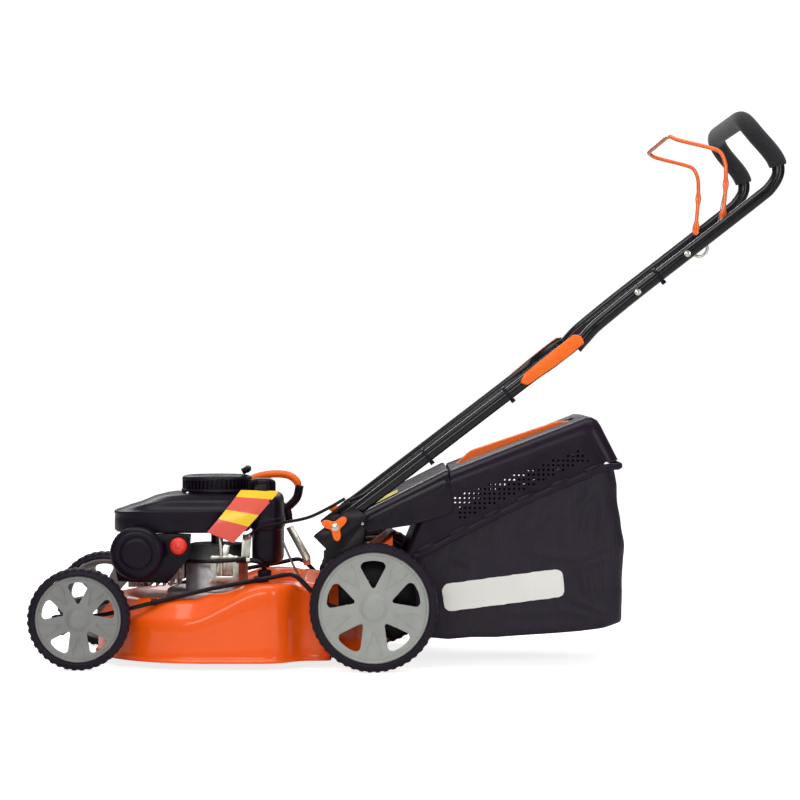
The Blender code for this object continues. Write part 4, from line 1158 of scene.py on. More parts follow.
# %% Hose, clamp and strap
black = FINISHES["cable_rubber"]
zinc = FINISHES["zinc_plated_steel"]
hose_path = smooth_path(
    [
        (-338, -117, 209), (-322, -121, 210), (-306, -123, 210), (-292, -122, 207), (-284, -117, 199),
        (-282, -110, 190)
    ],
    6
)
hose = new_piece("breather_hose", *tube(hose_path, 5.2, 20), black)
dressed(hose, "deck", "cable_rubber")
clamp = new_piece(
    "hose_clamp",
    *turned("X", (-121.6, 210), [(5.3, -318), (6.4, -318), (6.4, -311), (5.3, -311)], 40, closed=True),
    zinc
)
dressed(clamp, "deck", "zinc_plated_steel", sharp=30)
strap_path = smooth_path(
    [(-369, -113, 166), (-369, -115, 190), (-370, -116, 226), (-372, -114, 250), (-372, -108, 266)], 6
)
strap = new_piece("governor_post", *tube(strap_path, 4.2, 20), zinc)
dressed(strap, "deck", "zinc_plated_steel")
screws(
    "carburettor_screws", [(-390, -110.6, 166), (-341, -110.6, 212), (-385, -110.6, 212)], "deck",
    "zinc_plated_steel", "left", 3.6, 3.0, 5.2
)
frame_outline = [(-391, 167), (-334, 167), (-334, 219), (-391, 219)]
window = [(-379, 178), (-346, 178), (-346, 209), (-379, 209)]
flat, cells = pierced(loop_rounded(frame_outline, 4), [loop_rounded(window, 4)])
plate_points = [(x, -117.5, z) for x, z in flat]
governor_frame = new_piece("governor_frame", plate_points, cells, zinc)
wall = governor_frame.modifiers.new("wall", "SOLIDIFY")
wall.thickness, wall.offset = 2.4 * MM, 0.0
rounded(governor_frame, 0.4, 2, 50)
dressed(governor_frame, "deck", "zinc_plated_steel")
print("engine dressed")

# %% [markdown]
# ## Catcher lid and rear flap
#
# Both are thin mouldings with flat sides and a wide rounded shoulder. The shoulder runs
# between two lines drawn on the side view: the outer line is the silhouette, and the inner
# one is the crease where the flat side begins. Points are spread along both lines in step,
# and a quarter oval joins each pair. The flat side is triangulated with its air holes left
# out, and Solidify gives the wall its 2.5 mm.

# %% A moulded cover from two lines
def spread(knots, spacing=6.0):
    """More points along straight runs, and how far along each lies as (leg, share)."""
    steps = [max(1, round((Vector(b) - Vector(a)).length / spacing)) for a, b in zip(knots, knots[1:])]
    marks = [(leg, i / n) for leg, n in enumerate(steps) for i in range(n)]
    return [*marks, (len(knots) - 2, 1.0)]


def at(knots, mark):
    leg, share = mark
    return Vector(knots[leg]).lerp(Vector(knots[leg + 1]), share)


def cover(name, outer, inner, below, half, inset, holes, paint, dip=None, extra=()):
    """Moulded cover. below are the side's remaining corners, dip(x) is the depth of a channel in its top."""
    marks = spread(outer)
    bows = [(1 - math.cos(math.radians(a)), math.sin(math.radians(a))) for a in range(0, 91, 15)]
    strip = []
    for mark in marks:
        edge, crease = at(outer, mark), at(inner, mark)
        row = []
        for away, up in bows:
            spot = crease.lerp(edge, up)
            row.append((spot.x, half - inset * away, spot.y))
        row += [(edge.x, y, edge.y) for y in (half - inset - 8, 120.0, 80.0)]
        for y, share in ((47, 0.0), (43, 0.15), (41, 1.0), (20, 1.0)):
            row.append((edge.x, y, edge.y - share * (dip(edge.x) if dip else 0.0)))
        strip.append([*row, *[(x, -y, z) for x, y, z in reversed(row)]])
    wide = len(strip[0])
    points = [p for row in strip for p in row]
    faces = []
    for r in range(len(strip) - 1):
        for i in range(wide - 1):
            faces.append((r * wide + i, r * wide + i + 1, (r + 1) * wide + i + 1, (r + 1) * wide + i))
    loop = [at(inner, mark) for mark in marks] + [Vector(p) for p in below]
    flat, cells = pierced(loop, holes, extra)
    for side in (-1, 1):
        start = len(points)
        points += [(p[0], side * half, p[1]) for p in flat]
        faces += [tuple(start + i for i in face) for face in cells]
    piece = new_piece(name, points, faces, paint)
    work = bmesh.new()
    work.from_mesh(piece.data)
    bmesh.ops.remove_doubles(work, verts=work.verts, dist=2e-5)
    bmesh.ops.recalc_face_normals(work, faces=work.faces)
    top = max(work.faces, key=lambda f: f.calc_center_median().z)
    if top.normal.z < 0:
        bmesh.ops.reverse_faces(work, faces=work.faces)
    work.to_mesh(piece.data)
    work.free()
    wall = piece.modifiers.new("wall", "SOLIDIFY")
    wall.thickness, wall.offset = 2.5 * MM, -1.0
    return evaluated(piece)


# %% [markdown]
# ## Catcher lid
#
# The lid is the stiff top of the grass catcher. Its outer and inner lines go to the cover
# function above, together with the outlines of the round air holes in its sides.

# %% Lid of the catcher
SLOPE = 0.388
HOOD_HALF = 189.0


def lid_top(x):
    return 395.5 + (x - 94) * SLOPE


def lid_channel(x):
    """Room for fingers under the handle."""
    return 33 * ease(117, 128, x) * (1 - ease(342, 353, x))


hood_outer = [
    (-5, 214), (60, 369), (90, 384), (94, 395.5), (117, lid_top(117)), (353, lid_top(353)), (366, 501),
    (378, 500.5), (388, 495), (395, 485), (430, 416)
]
hood_inner = [
    (12, 222), (62, 345), (84, 360), (92, 367), (117, 376.5), (330, 455), (352, 463), (361, 464.5),
    (369, 461), (376, 452), (404, 412)
]
hood_below = [(397, 406.5), (259, 350), (120, 280), (26, 229)]
hole_rows = [
    (433.4, 25, 25), (424.2, 23, 26), (414.8, 20, 27), (405.6, 18, 24), (396.2, 15, 22), (386.8, 12, 20),
    (377.2, 10, 18),
    (367.6, 7, 16), (358.2, 5, 14), (348.6, 2, 12), (339.2, 0, 10), (330.0, 0, 8), (320.2, 1, 6),
    (310.8, 1, 4), (301.4, 1, 2),
]
HOLE, PITCH = 2.5, 9.8
air_holes = []
for z, first, last in hole_rows:
    for column in range(first, last + 1):
        x = 103 + column * PITCH
        air_holes.append([
            (x + HOLE * math.cos(a * math.pi / 6), z + HOLE * math.sin(a * math.pi / 6))
            for a in range(12)
        ])
hood = cover(
    "catcher_lid", hood_outer, hood_inner, hood_below, HOOD_HALF, 24.0, air_holes,
    FINISHES["hood_plastic_black"], lid_channel
)
dressed(hood, "catcher", "hood_plastic_black", "catcher_hood", sharp=32)
print(len(air_holes), "air holes in each side")

# %% [markdown]
# A frame clips the cloth to the lid. Its rail follows the seam, and short tabs on it hook
# over the lid's edge at even steps. The tabs are placed by a tree that samples the seam as
# a curve, so their spacing is a length and not a count.

# %% Seam rail and its clips
clip_tree = bpy.data.node_groups.new("clips_along_line", "GeometryNodeTree")
clip_tree.interface.new_socket("Line", in_out="INPUT", socket_type="NodeSocketObject")
given = named_inputs(
    clip_tree, [("Spacing", "Float"), ("Size", "Vector"), ("Lift", "Vector"), ("Material", "Material")]
)
line = add_node(clip_tree, "GeometryNodeObjectInfo", {"Object": given["Line"]})
curve = add_node(clip_tree, "GeometryNodeMeshToCurve", {"Mesh": line.outputs["Geometry"]})
even = add_node(
    clip_tree, "GeometryNodeResampleCurve", {"Curve": curve.outputs[0], "Length": given["Spacing"]},
    mode="LENGTH"
)
heading = add_node(clip_tree, "GeometryNodeInputTangent")
turn = add_node(
    clip_tree, "FunctionNodeAlignRotationToVector", {"Vector": heading.outputs[0]}, axis="X",
    pivot_axis="Y"
)
tab = add_node(clip_tree, "GeometryNodeMeshCube", {"Size": given["Size"]})
raised = add_node(
    clip_tree, "GeometryNodeTransform", {"Geometry": tab.outputs[0], "Translation": given["Lift"]}
)
set_down = add_node(
    clip_tree, "GeometryNodeInstanceOnPoints",
    {"Points": even.outputs[0], "Instance": raised.outputs[0], "Rotation": turn.outputs[0]}
)
real = add_node(clip_tree, "GeometryNodeRealizeInstances", {0: set_down.outputs[0]})
painted = add_node(
    clip_tree, "GeometryNodeSetMaterial", {"Geometry": real.outputs[0], "Material": given["Material"]}
)
add_node(clip_tree, "NodeGroupOutput", {0: painted.outputs[0]})

seam = [(22, 221), (120, 272), (189, 307), (259, 341), (328, 370), (397, 399), (431, 404)]
for side in (-1, 1):
    y = side * (HOOD_HALF + 1.2)
    word = "left" if side < 0 else "right"
    route = smooth_path([(x, y, z) for x, z in seam], 8)
    rail_points, rail_faces = tube(route, (3.2, 7.0), 16)
    rail = new_piece(f"seam_rail_{word}", rail_points, rail_faces, FINISHES["hood_plastic_black"])
    dressed(rail, "catcher", "hood_plastic_black")
    line_points = [(x, y, z) for x, y, z in route[2:-10]]
    guide = bpy.data.objects.new("guide", bpy.data.meshes.new("guide"))
    guide.data.from_pydata(
        [Vector(p) * MM for p in line_points], [(i, i + 1) for i in range(len(line_points) - 1)], []
    )
    bpy.context.scene.collection.objects.link(guide)
    tabs = grown(
        f"seam_clips_{word}", clip_tree, Line=guide, Spacing=67 * MM, Size=Vector((36, 6, 15)) * MM,
        Lift=Vector((0, 0, 4.5)) * MM, Material=FINISHES["hood_plastic_black"],
    )
    bpy.data.objects.remove(guide)
    rounded(tabs, 1.0)
    dressed(tabs, "catcher", "hood_plastic_black", sharp=30)
    crease = smooth_path(
        [
            (x, side * (HOOD_HALF + 0.2), z) for x,
            z in ((361, 464), (367, 460), (374, 451), (388, 431), (402, 411))
        ],
        6
    )
    rib = new_piece(f"lid_corner_rib_{word}", *tube(crease, 1.5, 12), FINISHES["hood_plastic_black"])
    dressed(rib, "catcher", "hood_plastic_black")
back_rail = smooth_path(
    [
        (428, -189, 404), (432, -180, 404.5), (434, -164, 405), (434, 164, 405), (432, 180, 404.5),
        (428, 189, 404)
    ],
    6
)
rail = new_piece("seam_rail_back", *tube(back_rail, (3.2, 6.0), 16), FINISHES["hood_plastic_black"])
dressed(rail, "catcher", "hood_plastic_black")
print("clips per side:", len(tabs.data.polygons) // 26)

# %% [markdown]
# ## Rear flap
#
# The flap is a moulded cover that closes the deck when the catcher is off. It is made by the
# same function as the catcher's lid, from an outer and an inner line.

# %% Rear flap
flap_outer = [(-98, 285), (-94, 307), (83, 396), (88, 396), (91, 390)]
flap_inner = [(-90, 281), (-84, 291), (78, 368), (88, 368), (92, 362)]
flap_below = [(96.5, 326), (95.5, 316), (90, 309), (13, 286), (-70, 273)]
flap = cover(
    "rear_flap_shell", flap_outer, flap_inner, flap_below, 197.0, 22.0, [], FINISHES["flap_plastic_black"]
)
dressed(flap, "rear_flap", "flap_plastic_black", "rear_flap", sharp=32)
beads = []
for side in (-1, 1):
    for drop in (1.0, 6.5):
        route = [Vector((x, side * 197.2, 291 + (x + 84) * 0.475 - drop)) for x in range(-78, 87, 6)]
        beads.append(tube(route, 1.1, 10))
beads = new_piece("rear_flap_beads", *merged(*beads), FINISHES["flap_plastic_black"])
dressed(beads, "rear_flap", "flap_plastic_black")

# %% [markdown]
# ## Handle of the catcher
#
# The carrying handle is an angular moulded bar: flat on top, slanted at the front, with a
# gap for fingers below. Its side view is drawn once, given its width, and its edges rounded.

# %% Catcher handle
handle_outline = [
    (106, 393), (110, 402), (138, 427.5), (146, 431), (313, 487), (322, 489.5), (356, 490.5), (359, 486),
    (334, 480), (152, 414),
    (140, 407.5), (129, 398), (118, 392),
]
holder = new_piece("catcher_handle", *plate(handle_outline, -16, 16), FINISHES["orange_plastic"])
rounded(holder, 2.4, 3, 15)
dressed(holder, "catcher", "orange_plastic", "catcher_grip", sharp=50)

# %% [markdown]
# ## Grass bag
#
# The bag is coarse polyester, woven so that air passes, with ribs that run top to bottom.
# It hangs from the rail and is drawn down to a wire frame under the floor. So its wall is a
# loft from the seam line to the floor line, bulged outwards in the middle and softly
# rounded at the bottom. Pulled between the two, the cloth shows slack folds: long ones from
# the rear corners, and short puckers below the seam, where it is gathered.

# %% Cloth of the bag
def cloth_finish():
    """Woven polyester. The weave follows the wall's own coordinates, so ribs run top to bottom."""
    made = bpy.data.materials.new("woven_polyester_black")
    made.use_nodes = True
    tree = made.node_tree
    shader = tree.nodes["Principled BSDF"]
    shader.inputs["Roughness"].default_value = 0.46
    shader.inputs["Specular IOR Level"].default_value = 0.3
    shader.inputs["Sheen Weight"].default_value = 0.12
    shader.inputs["Sheen Roughness"].default_value = 0.4
    shader.inputs["Sheen Tint"].default_value = linear("#6A5570")
    across = add_node(tree, "ShaderNodeUVMap", uv_map="cloth")
    # The coordinate is in metres round the bag and down its wall: ribs are 4.6 mm apart.
    ribs = add_node(
        tree, "ShaderNodeTexWave",
        {
            "Vector": across.outputs[0], "Scale": 2 * math.pi / 20 / 0.0046, "Distortion": 0.6,
            "Detail": 1.0
        },
        wave_type="BANDS", bands_direction="X",
    )
    weft = add_node(
        tree, "ShaderNodeTexWave",
        {"Vector": across.outputs[0], "Scale": 2 * math.pi / 20 / 0.0019, "Distortion": 0.3},
        wave_type="BANDS", bands_direction="Y",
    )
    worn = add_node(tree, "ShaderNodeTexNoise", {"Vector": across.outputs[0], "Scale": 14.0, "Detail": 5.0})
    tone = add_node(
        tree, "ShaderNodeMix", {0: worn.outputs["Fac"], 6: linear("#150C1A"), 7: linear("#271B2C")},
        data_type="RGBA"
    )
    # Painted light and shade: the rib bands make the colour lighter on each rib's crest and darker in the
    # groove between ribs, in step with the bump below.
    rib_light_and_shade = add_node(tree, "ShaderNodeMapRange", {0: ribs.outputs["Fac"], 1: 0.1, 2: 0.9, 3: 0.65, 4: 1.15})
    shade = add_node(
        tree, "ShaderNodeVectorMath", {0: tone.outputs[2], "Scale": rib_light_and_shade.outputs[0]}, operation="SCALE"
    )
    tree.links.new(shade.outputs[0], shader.inputs["Base Color"])
    threads = add_node(
        tree, "ShaderNodeMath", {0: weft.outputs["Fac"], 1: 0.35, 2: ribs.outputs["Fac"]},
        operation="MULTIPLY_ADD"
    )
    relief = add_node(
        tree, "ShaderNodeBump", {"Strength": 0.8, "Distance": 0.0005, "Height": threads.outputs[0]}
    )
    tree.links.new(relief.outputs[0], shader.inputs["Normal"])
    return made


FINISHES["bag_cloth"] = cloth_finish()
RIM = [(-5, 209), (22, 215), (120, 265), (189, 300), (259, 334), (328, 363), (395, 392), (428, 398)]
FLOOR = [
    (6, 71), (40, 61), (89, 57), (136, 61), (184, 61), (240, 65), (304, 69), (352, 73), (400, 79),
    (424, 82)
]
WALL_HALF = 188.5


def on_line(line, x):
    for (a, low), (b, high) in zip(line, line[1:]):
        if x <= b:
            return low + (high - low) * (x - a) / (b - a)
    return line[-1][1]


def fold(x, z, a, b, width, height):
    """Soft ridge along the segment from a to b."""
    start, way = Vector(a), Vector(b) - Vector(a)
    share = min(1.0, max(0.0, (Vector((x, z)) - start).dot(way) / way.length_squared))
    gap = (Vector((x, z)) - start - way * share).length
    return height * math.exp(-((gap / width) ** 2)) * math.sin(math.pi * (0.08 + 0.84 * share))


FOLDS = [
    ((392, 372), (330, 300), 9, 2.6), ((404, 350), (386, 240), 8, 3.0), ((372, 330), (352, 270), 7, 2.0),
    ((340, 214), (412, 246), 7, 2.4),
    ((336, 196), (420, 228), 6, 2.2), ((330, 142), (424, 104), 9, 3.4), ((300, 122), (420, 92), 8, 2.6),
    ((200, 108), (330, 116), 8, 1.6),
    ((250, 232), (352, 220), 9, 2.0), ((262, 300), (212, 252), 8, 1.8), ((300, 322), (258, 276), 7, 1.8),
    ((120, 232), (180, 216), 8, 1.4),
    ((356, 196), (372, 130), 8, 2.2), ((90, 222), (140, 206), 7, 1.2),
]


def bag_point(t, v):
    """Point of the wall: t runs round the bag from front left to front right, v from seam to floor."""
    side, corner = 430.0, 34.0
    rear = 2 * (WALL_HALF - corner)
    arc = corner * math.pi / 2
    whole = 2 * side + 2 * arc + rear
    s = t * whole
    flip = 1
    if s > whole / 2:
        s, flip = whole - s, -1
    if s < side:
        share, out, back = s / side, Vector((0, -1)), 0.0
        plan = Vector((0, -WALL_HALF))
        along = share
    elif s < side + arc:
        turn = (s - side) / corner
        out, back = Vector((math.sin(turn), -math.cos(turn))), 1.0
        plan = Vector((corner * (math.sin(turn) - 1), -WALL_HALF + corner * (1 - math.cos(turn))))
        along = 1.0
    else:
        out, back = Vector((1, 0)), 1.0
        plan = Vector((0, -WALL_HALF + corner + s - side - arc))
        along = 1.0
    rim_x = -5 + (428 - corner + 5) * along if back == 0 else 428 + plan.x
    floor_x = 6 + (424 - corner - 6) * along if back == 0 else 424 + plan.x
    top, low = on_line(RIM, rim_x), on_line(FLOOR, floor_x)
    x = rim_x + (floor_x - rim_x) * v
    z = top + (low - top) * v
    swell = 2.4 * math.sin(math.pi * v) ** 0.8
    if back:
        swell += 14 * out.x * (
            ease(0.15, 0.5, v) * (1 - ease(0.97, 1.0, v)) - 0.35 * (1 - ease(0.0, 0.12, v))
        )
    tuck = 0.0
    if v > 0.94:
        tuck = 9 * (1 - math.sqrt(max(0.0, 1 - ((v - 0.94) / 0.06) ** 2)))
    crumple = 2.0 * sum(fold(x, z, *f) for f in FOLDS) * (1 - abs(out.x))
    crumple += 2.6 * out.x * math.sin(s * 0.045 + 2.2 * v) * math.sin(math.pi * v)
    near = 1 - ease(0.0, 0.16, v)
    crumple += 1.2 * near * math.sin(s * 0.16) * min(1.0, v * 25)
    wave = noise.noise(
        Vector((s * 0.02, z * 0.012, 3.1 * flip))
    ) + 0.5 * noise.noise(Vector((s * 0.055, z * 0.03, 7.7 * flip)))
    crumple += 3.4 * wave * math.sin(math.pi * min(1.0, v * 1.05)) ** 0.6
    away = swell - tuck + crumple
    return Vector((x + out.x * away, flip * (plan.y + out.y * away), z))


COLUMNS, ROWS, FLOOR_ROWS = 340, 76, 10
points, uvs = [], []
for row in range(ROWS + 1):
    for column in range(COLUMNS + 1):
        points.append(bag_point(column / COLUMNS, row / ROWS))
        uvs.append((column / COLUMNS * 1.34, row / ROWS * 0.32))
faces = []
wide = COLUMNS + 1
for row in range(ROWS):
    for i in range(COLUMNS):
        a = row * wide + i
        faces.append((a, a + 1, a + wide + 1, a + wide))
rim = points[ROWS * wide :]
centre_line = [Vector((min(p.x, 395), 0, on_line(FLOOR, min(p.x, 395)) - 1)) for p in rim]
for step in range(1, FLOOR_ROWS + 1):
    t = step / FLOOR_ROWS
    for p, c in zip(rim, centre_line):
        points.append(p.lerp(c, t) - Vector((0, 0, 3.0 * math.sin(math.pi * t * 0.5))))
        uvs.append((p.x / 1000, 0.32 + t * 0.19))
for row in range(ROWS, ROWS + FLOOR_ROWS):
    for i in range(COLUMNS):
        a = row * wide + i
        faces.append((a, a + 1, a + wide + 1, a + wide))
mesh = bpy.data.meshes.new("grass_bag")
mesh.from_pydata([p * MM for p in points], [], faces)
layer = mesh.uv_layers.new(name="cloth")
for corner in mesh.loops:
    layer.data[corner.index].uv = uvs[corner.vertex_index]
mesh.materials.append(FINISHES["bag_cloth"])
bag = bpy.data.objects.new("grass_bag", mesh)
bpy.context.scene.collection.objects.link(bag)
work = bmesh.new()
work.from_mesh(mesh)
bmesh.ops.remove_doubles(work, verts=work.verts, dist=2e-5)
bmesh.ops.recalc_face_normals(work, faces=work.faces)
left = min(work.faces, key=lambda f: f.calc_center_median().y)
if left.normal.y > 0:
    bmesh.ops.reverse_faces(work, faces=work.faces)
work.to_mesh(mesh)
work.free()
wall = bag.modifiers.new("wall", "SOLIDIFY")
wall.thickness, wall.offset = 1.4 * MM, -1.0
evaluated(bag)
dressed(bag, "catcher", "bag_cloth", "catcher_bag", sharp=80)
print(len(bag.data.polygons), "faces of cloth")

# %% [markdown]
# A plain white plate is sewn to each side of the bag. It lies on the cloth, so its points
# are dropped sideways onto the bag with a ray, and lifted by a millimetre.

# %% Label plates
plate_paint = finish("printed_vinyl_white", "#ECEAE4", 0.4, (1.5, 0.02), ("#E2DFD8", 60, 0.5))
finder = BVHTree.FromPolygons([v.co for v in bag.data.vertices], [p.vertices for p in bag.data.polygons])
outline = loop_rounded([(74, 168.5), (81, 111.5), (324, 143), (317, 201)], 19, 8)
ring = [*outline, outline[0]]
corners = [at(ring, mark) for mark in spread(ring, 5)][:-1]
grid = []
for x in range(80, 320, 6):
    for z in range(112, 202, 6):
        if all(inside((x + dx, z + dz), corners) for dx, dz in ((3, 0), (-3, 0), (0, 3), (0, -3))):
            grid.append((x, z))
flat, cells = pierced(corners, [], grid)
for side in (-1, 1):
    points = []
    for x, z in flat:
        start = Vector((x, side * 300, z)) * MM
        hit, *_ = finder.ray_cast(start, Vector((0, -side, 0)))
        points.append((x, hit.y / MM + side * 1.2 if hit else side * 190, z))
    label = new_piece(f"label_plate_{'left' if side < 0 else 'right'}", points, cells, plate_paint)
    work = bmesh.new()
    work.from_mesh(label.data)
    if sum(f.normal.y for f in work.faces) * side < 0:
        bmesh.ops.reverse_faces(work, faces=work.faces)
    work.to_mesh(label.data)
    work.free()
    thick = label.modifiers.new("thick", "SOLIDIFY")
    thick.thickness, thick.offset = 0.8 * MM, -1.0
    soften = label.modifiers.new("soften", "SMOOTH")
    soften.factor, soften.iterations = 0.5, 2
    evaluated(label)
    dressed(label, "catcher", "bag_cloth")
print("labels", len(flat), "points each")

# %% [markdown]
# ## Handle
#
# The handle is bent steel tube in gloss black. Where its lower and upper halves meet, the
# ends are squashed flat so that a clamp can hold them side by side. A tube sweep with a
# radius that changes along the way makes both the round length and the flattened end.

# %% Lower tubes
FOLD_LOW, FOLD_HIGH = Vector((-135, 0, 287)), Vector((340, 0, 651))
SLANT = (FOLD_HIGH - FOLD_LOW).normalized()
tube_paint = FINISHES["handle_paint_black"]
for side in (-1, 1):
    word = "left" if side < 0 else "right"
    span = (FOLD_HIGH - FOLD_LOW).length
    stations = [(-14, 235, 3.0, 11), (4, 235, 3.0, 12.5), (22, 235, 5.5, 13.5), (44, 235, 12.5, 12.5)]
    stations += [(d, 235, 12.5, 12.5) for d in range(70, int(span) - 110, 30)]
    stations += [
        (span - 108, 235, 12.5, 12.5), (span - 92, 236.5, 10, 13), (span - 76, 240, 5, 14),
        (span - 62, 243.4, 2.6, 14.4),
        (span - 20, 244, 2.4, 14.4), (span + 4, 244, 2.4, 13.4), (span + 13, 244, 2.4, 9),
        (span + 16.5, 244, 2.2, 4),
    ]
    stations[0] = (-14, 235, 3.0, 6)
    rings = []
    for d, y, wide, tall in stations:
        middle = FOLD_LOW + SLANT * d + Vector((0, side * y, 0))
        up = Vector((-SLANT.z, 0, SLANT.x))
        rings.append([
            middle + Vector((0, wide * math.cos(k * math.pi / 14), 0))
            + up * tall * math.sin(k * math.pi / 14) for k in range(28)
        ])
    leg = new_piece(f"lower_tube_{word}", *skin(rings), tube_paint)
    dressed(leg, "lower_handle", "handle_paint_black", f"lower_handle_{word}", sharp=60)

# %% [markdown]
# ## Upper handle
#
# The upper handle is one bent tube. Half of its line is listed and mirrored, because
# both sides of the real one are bent alike.

# %% Upper handle
half_route = [
    (340, -238, 641), (356, -238, 657), (372, -236.5, 675), (392, -235, 693), (462, -235, 750),
    (560, -235, 826), (695, -235, 931)
]
half_route += [
    (726, -235, 958), (741, -235, 988), (733, -234, 1018), (697, -231, 1062), (682, -219, 1083),
    (676, -196, 1093), (674, -160, 1096.5), (674, -90, 1097)
]
route = smooth_path(mirrored(half_route), 7)


def flattened(t):
    """Flat blade at each end, round tube between."""
    near = ease(0.004, 0.022, min(t, 1 - t))
    return (2.6 + 9.9 * near, 13.5 - 1.0 * near)


points, faces = tube(route, flattened, 28)
upper = new_piece("upper_tube", points, faces, tube_paint)
dressed(upper, "upper_handle", "handle_paint_black", "upper_handle", sharp=60)
print(len(route), "stations on the upper tube")

# %% [markdown]
# Foam rubber covers the top bar where the hands go. Foam has closed cells under half a
# millimetre, so it's matt with a fine pitted bump, and its ends are cut off square.

# %% Foam
foam = finish("closed_cell_foam_black", "#141216", 0.88, (0.7, 0.14), ("#1D1A20", 9, 0.7), Sheen_Weight=0.15)
FINISHES["grip_foam"] = foam
held = [p for p in route if p.z > 1000 and p.x > 660]
ends = [held[0] + (held[0] - held[1]) * 0.001, *held, held[-1] + (held[-1] - held[-2]) * 0.001]
last = len(ends) - 1


def foam_radius(t):
    near = min(t, 1 - t) * last
    return 13.2 if near < 0.5 else (17.0 if near < 1.5 else 18.2)


sleeve = new_piece("foam_sleeve", *tube(ends, foam_radius, 32), foam)
dressed(sleeve, "upper_handle", "grip_foam", "foam_grip", sharp=60)

# %% [markdown]
# ## Bail
#
# The bail is a bent rod that the user holds against the handle. Its two feet are pressed
# flat round the pivot bolt, so the sweep is wide and thin there and round elsewhere.

# %% Bail
half_bail = [
    (634, -216.5, 887), (634.5, -216.5, 899), (637, -216.5, 930), (639.5, -216.5, 962),
    (640, -216.2, 988), (638.5, -215, 1008), (630, -213, 1028)
]
half_bail += [
    (612, -211, 1037), (560, -208, 1050), (543, -205.5, 1055), (534, -199, 1060), (530, -188, 1062),
    (529, -150, 1063), (529, -75, 1063)
]
bail_route = smooth_path(mirrored(half_bail), 8)
bail_last = len(bail_route) - 1


def bail_radius(t):
    near = min(t, 1 - t) * bail_last
    eye = ease(0, 4, near) * (1 - ease(9, 14, near))
    waist = math.exp(-((near - 25) / 2.5) ** 2)
    foot = 1 - ease(6, 13, near)
    wide = 4.0 - 1.8 * foot - 1.6 * waist
    return (max(1.6, wide), 3.2 + 4.0 * eye + 0.8 * (1 - foot) + 2.4 * waist)


bail = new_piece("bail_rod", *tube(bail_route, bail_radius, 24), FINISHES["bail_paint_orange"])
dressed(bail, "bail", "bail_paint_orange", "bail", sharp=60)
print("bail", [round(v, 3) for v in bail.dimensions])

# %% [markdown]
# ## Height linkage
#
# Black rods join the front and rear axles along each side of the deck, so one lever lifts
# all four wheels. The rod bends over the deck's shoulder and ends in an eye at each pin.

# %% Link rods
ROD = [
    (-650, 158, 97), (-618, 161, 102), (-585, 174, 109), (-539, 184, 121), (-383, 185, 159),
    (-264, 187, 181), (-225, 192, 188), (-204, 199, 176), (-178, 203, 149), (-150, 203, 128)
]
for side in (-1, 1):
    word = "left" if side < 0 else "right"
    edged_copy(f"link_rod_{word}", 0.5)
    body = f"link_rod_{word}"
    clip_route = smooth_path([(x, side * y, z) for x, y, z in ROD[3:6]], 12)
    collar = []
    for spot in (clip_route[3], clip_route[-4]):
        collar.append(tube([spot - Vector((6, 0, -1.4)), spot + Vector((6, 0, 1.4))], 6.4, 20))
    bands = new_piece(f"rod_sleeves_{word}", *merged(*collar), FINISHES["black_plastic"])
    rounded(bands, 0.8)
    dressed(bands, body, "black_steel")

# %% [markdown]
# ## Spring rod
#
# A short steel rod stands beside the engine. It is a tube along a smooth line of four points.

# %% Thin spring rod beside the lever
spring_route = smooth_path([(-245, -112, 249), (-236, -116, 228), (-224, -118, 202), (-211, -120, 177)], 6)
thin_rod = new_piece("spring_rod", *tube(spring_route, 2.4, 16), FINISHES["steel"])
dressed(thin_rod, "deck", "steel")

# %% [markdown]
# ## Height lever
#
# The lever's neck is black moulding, and its grip is an orange arch that fits one hand.

# %% Lever
edged_copy("height_lever_neck", 1.4)
arch = smooth_path(
    [
        (-345, 168, 344), (-339, 168, 352), (-318, 168, 364), (-296, 168, 370), (-273, 168, 372.5),
        (-252, 168, 371), (-238, 168, 366), (-228, 168, 357), (-222, 168, 345)
    ],
    7
)
grip = new_piece(
    "lever_arch", *tube(arch, lambda t: 8.2 * (1 - 0.4 * abs(2 * t - 1) ** 14), 28),
    FINISHES["orange_plastic"]
)
dressed(grip, "height_lever", "orange_plastic", "height_lever_grip", sharp=60)

# %% [markdown]
# ## Cables
#
# The bail pulls the engine brake through a Bowden cable: steel wire in a vinyl sleeve. It
# is stiff for its size, so it runs in wide arcs and lies against the tube where ties hold
# it. Each length is a tube of its real size.

# %% Cable lengths
def cable(
    name, node, body, knots, radius, slot="cable_rubber",
    steps=10
):
    line = smooth_path(knots, steps)
    piece = new_piece(name, *tube(line, radius, 18), FINISHES[slot])
    dressed(piece, body, slot, *([node] if node else []))
    return piece


def beside(distance, lift, inward):
    """Spot by the left lower tube."""
    here = FOLD_LOW + SLANT * distance + Vector((-SLANT.z, 0, SLANT.x)) * lift
    return (here.x, -235 + inward, here.z)


engine_knots = [
    (-318, -114, 256), (-290, -140, 276), (-240, -178, 290), (-190, -200, 302), (-148, -206, 322),
    (-117, -208, 340)
]
cable("cable_at_engine", "cable_engine", "deck", engine_knots, 3.2)
lower_knots = [
    beside(d, lift, inward) for d, lift,
    inward in ((52, 22, 22), (90, 14, 13), (200, 12, 13), (330, 12, 13), (460, 12, 13), (560, 13, 14))
]
cable("cable_on_lower_handle", "cable_lower", "lower_handle", lower_knots, 3.2)
upper_knots = [(366, -218, 690), (420, -218, 732), (520, -218, 808), (590, -216, 856), (622, -204, 872)]
cable("cable_on_upper_handle", "cable_upper", "upper_handle", upper_knots, 3.2)
fuel_knots = [
    (-321, -126, 214), (-352, -128, 210), (-398, -124, 208), (-420, -110, 207), (-432, -92, 206),
    (-447, -80, 206)
]
cable("fuel_hose", "fuel_line", "deck", fuel_knots, 4.0)
ferrule = tube([Vector(p) for p in ((-322, -110, 253.5), (-308, -123, 262.5))], 5.0, 20)
ferrules = new_piece("cable_ferrule", *ferrule, FINISHES["zinc_plated_steel"])
rounded(ferrules, 0.6)
dressed(ferrules, "deck", "zinc_plated_steel")
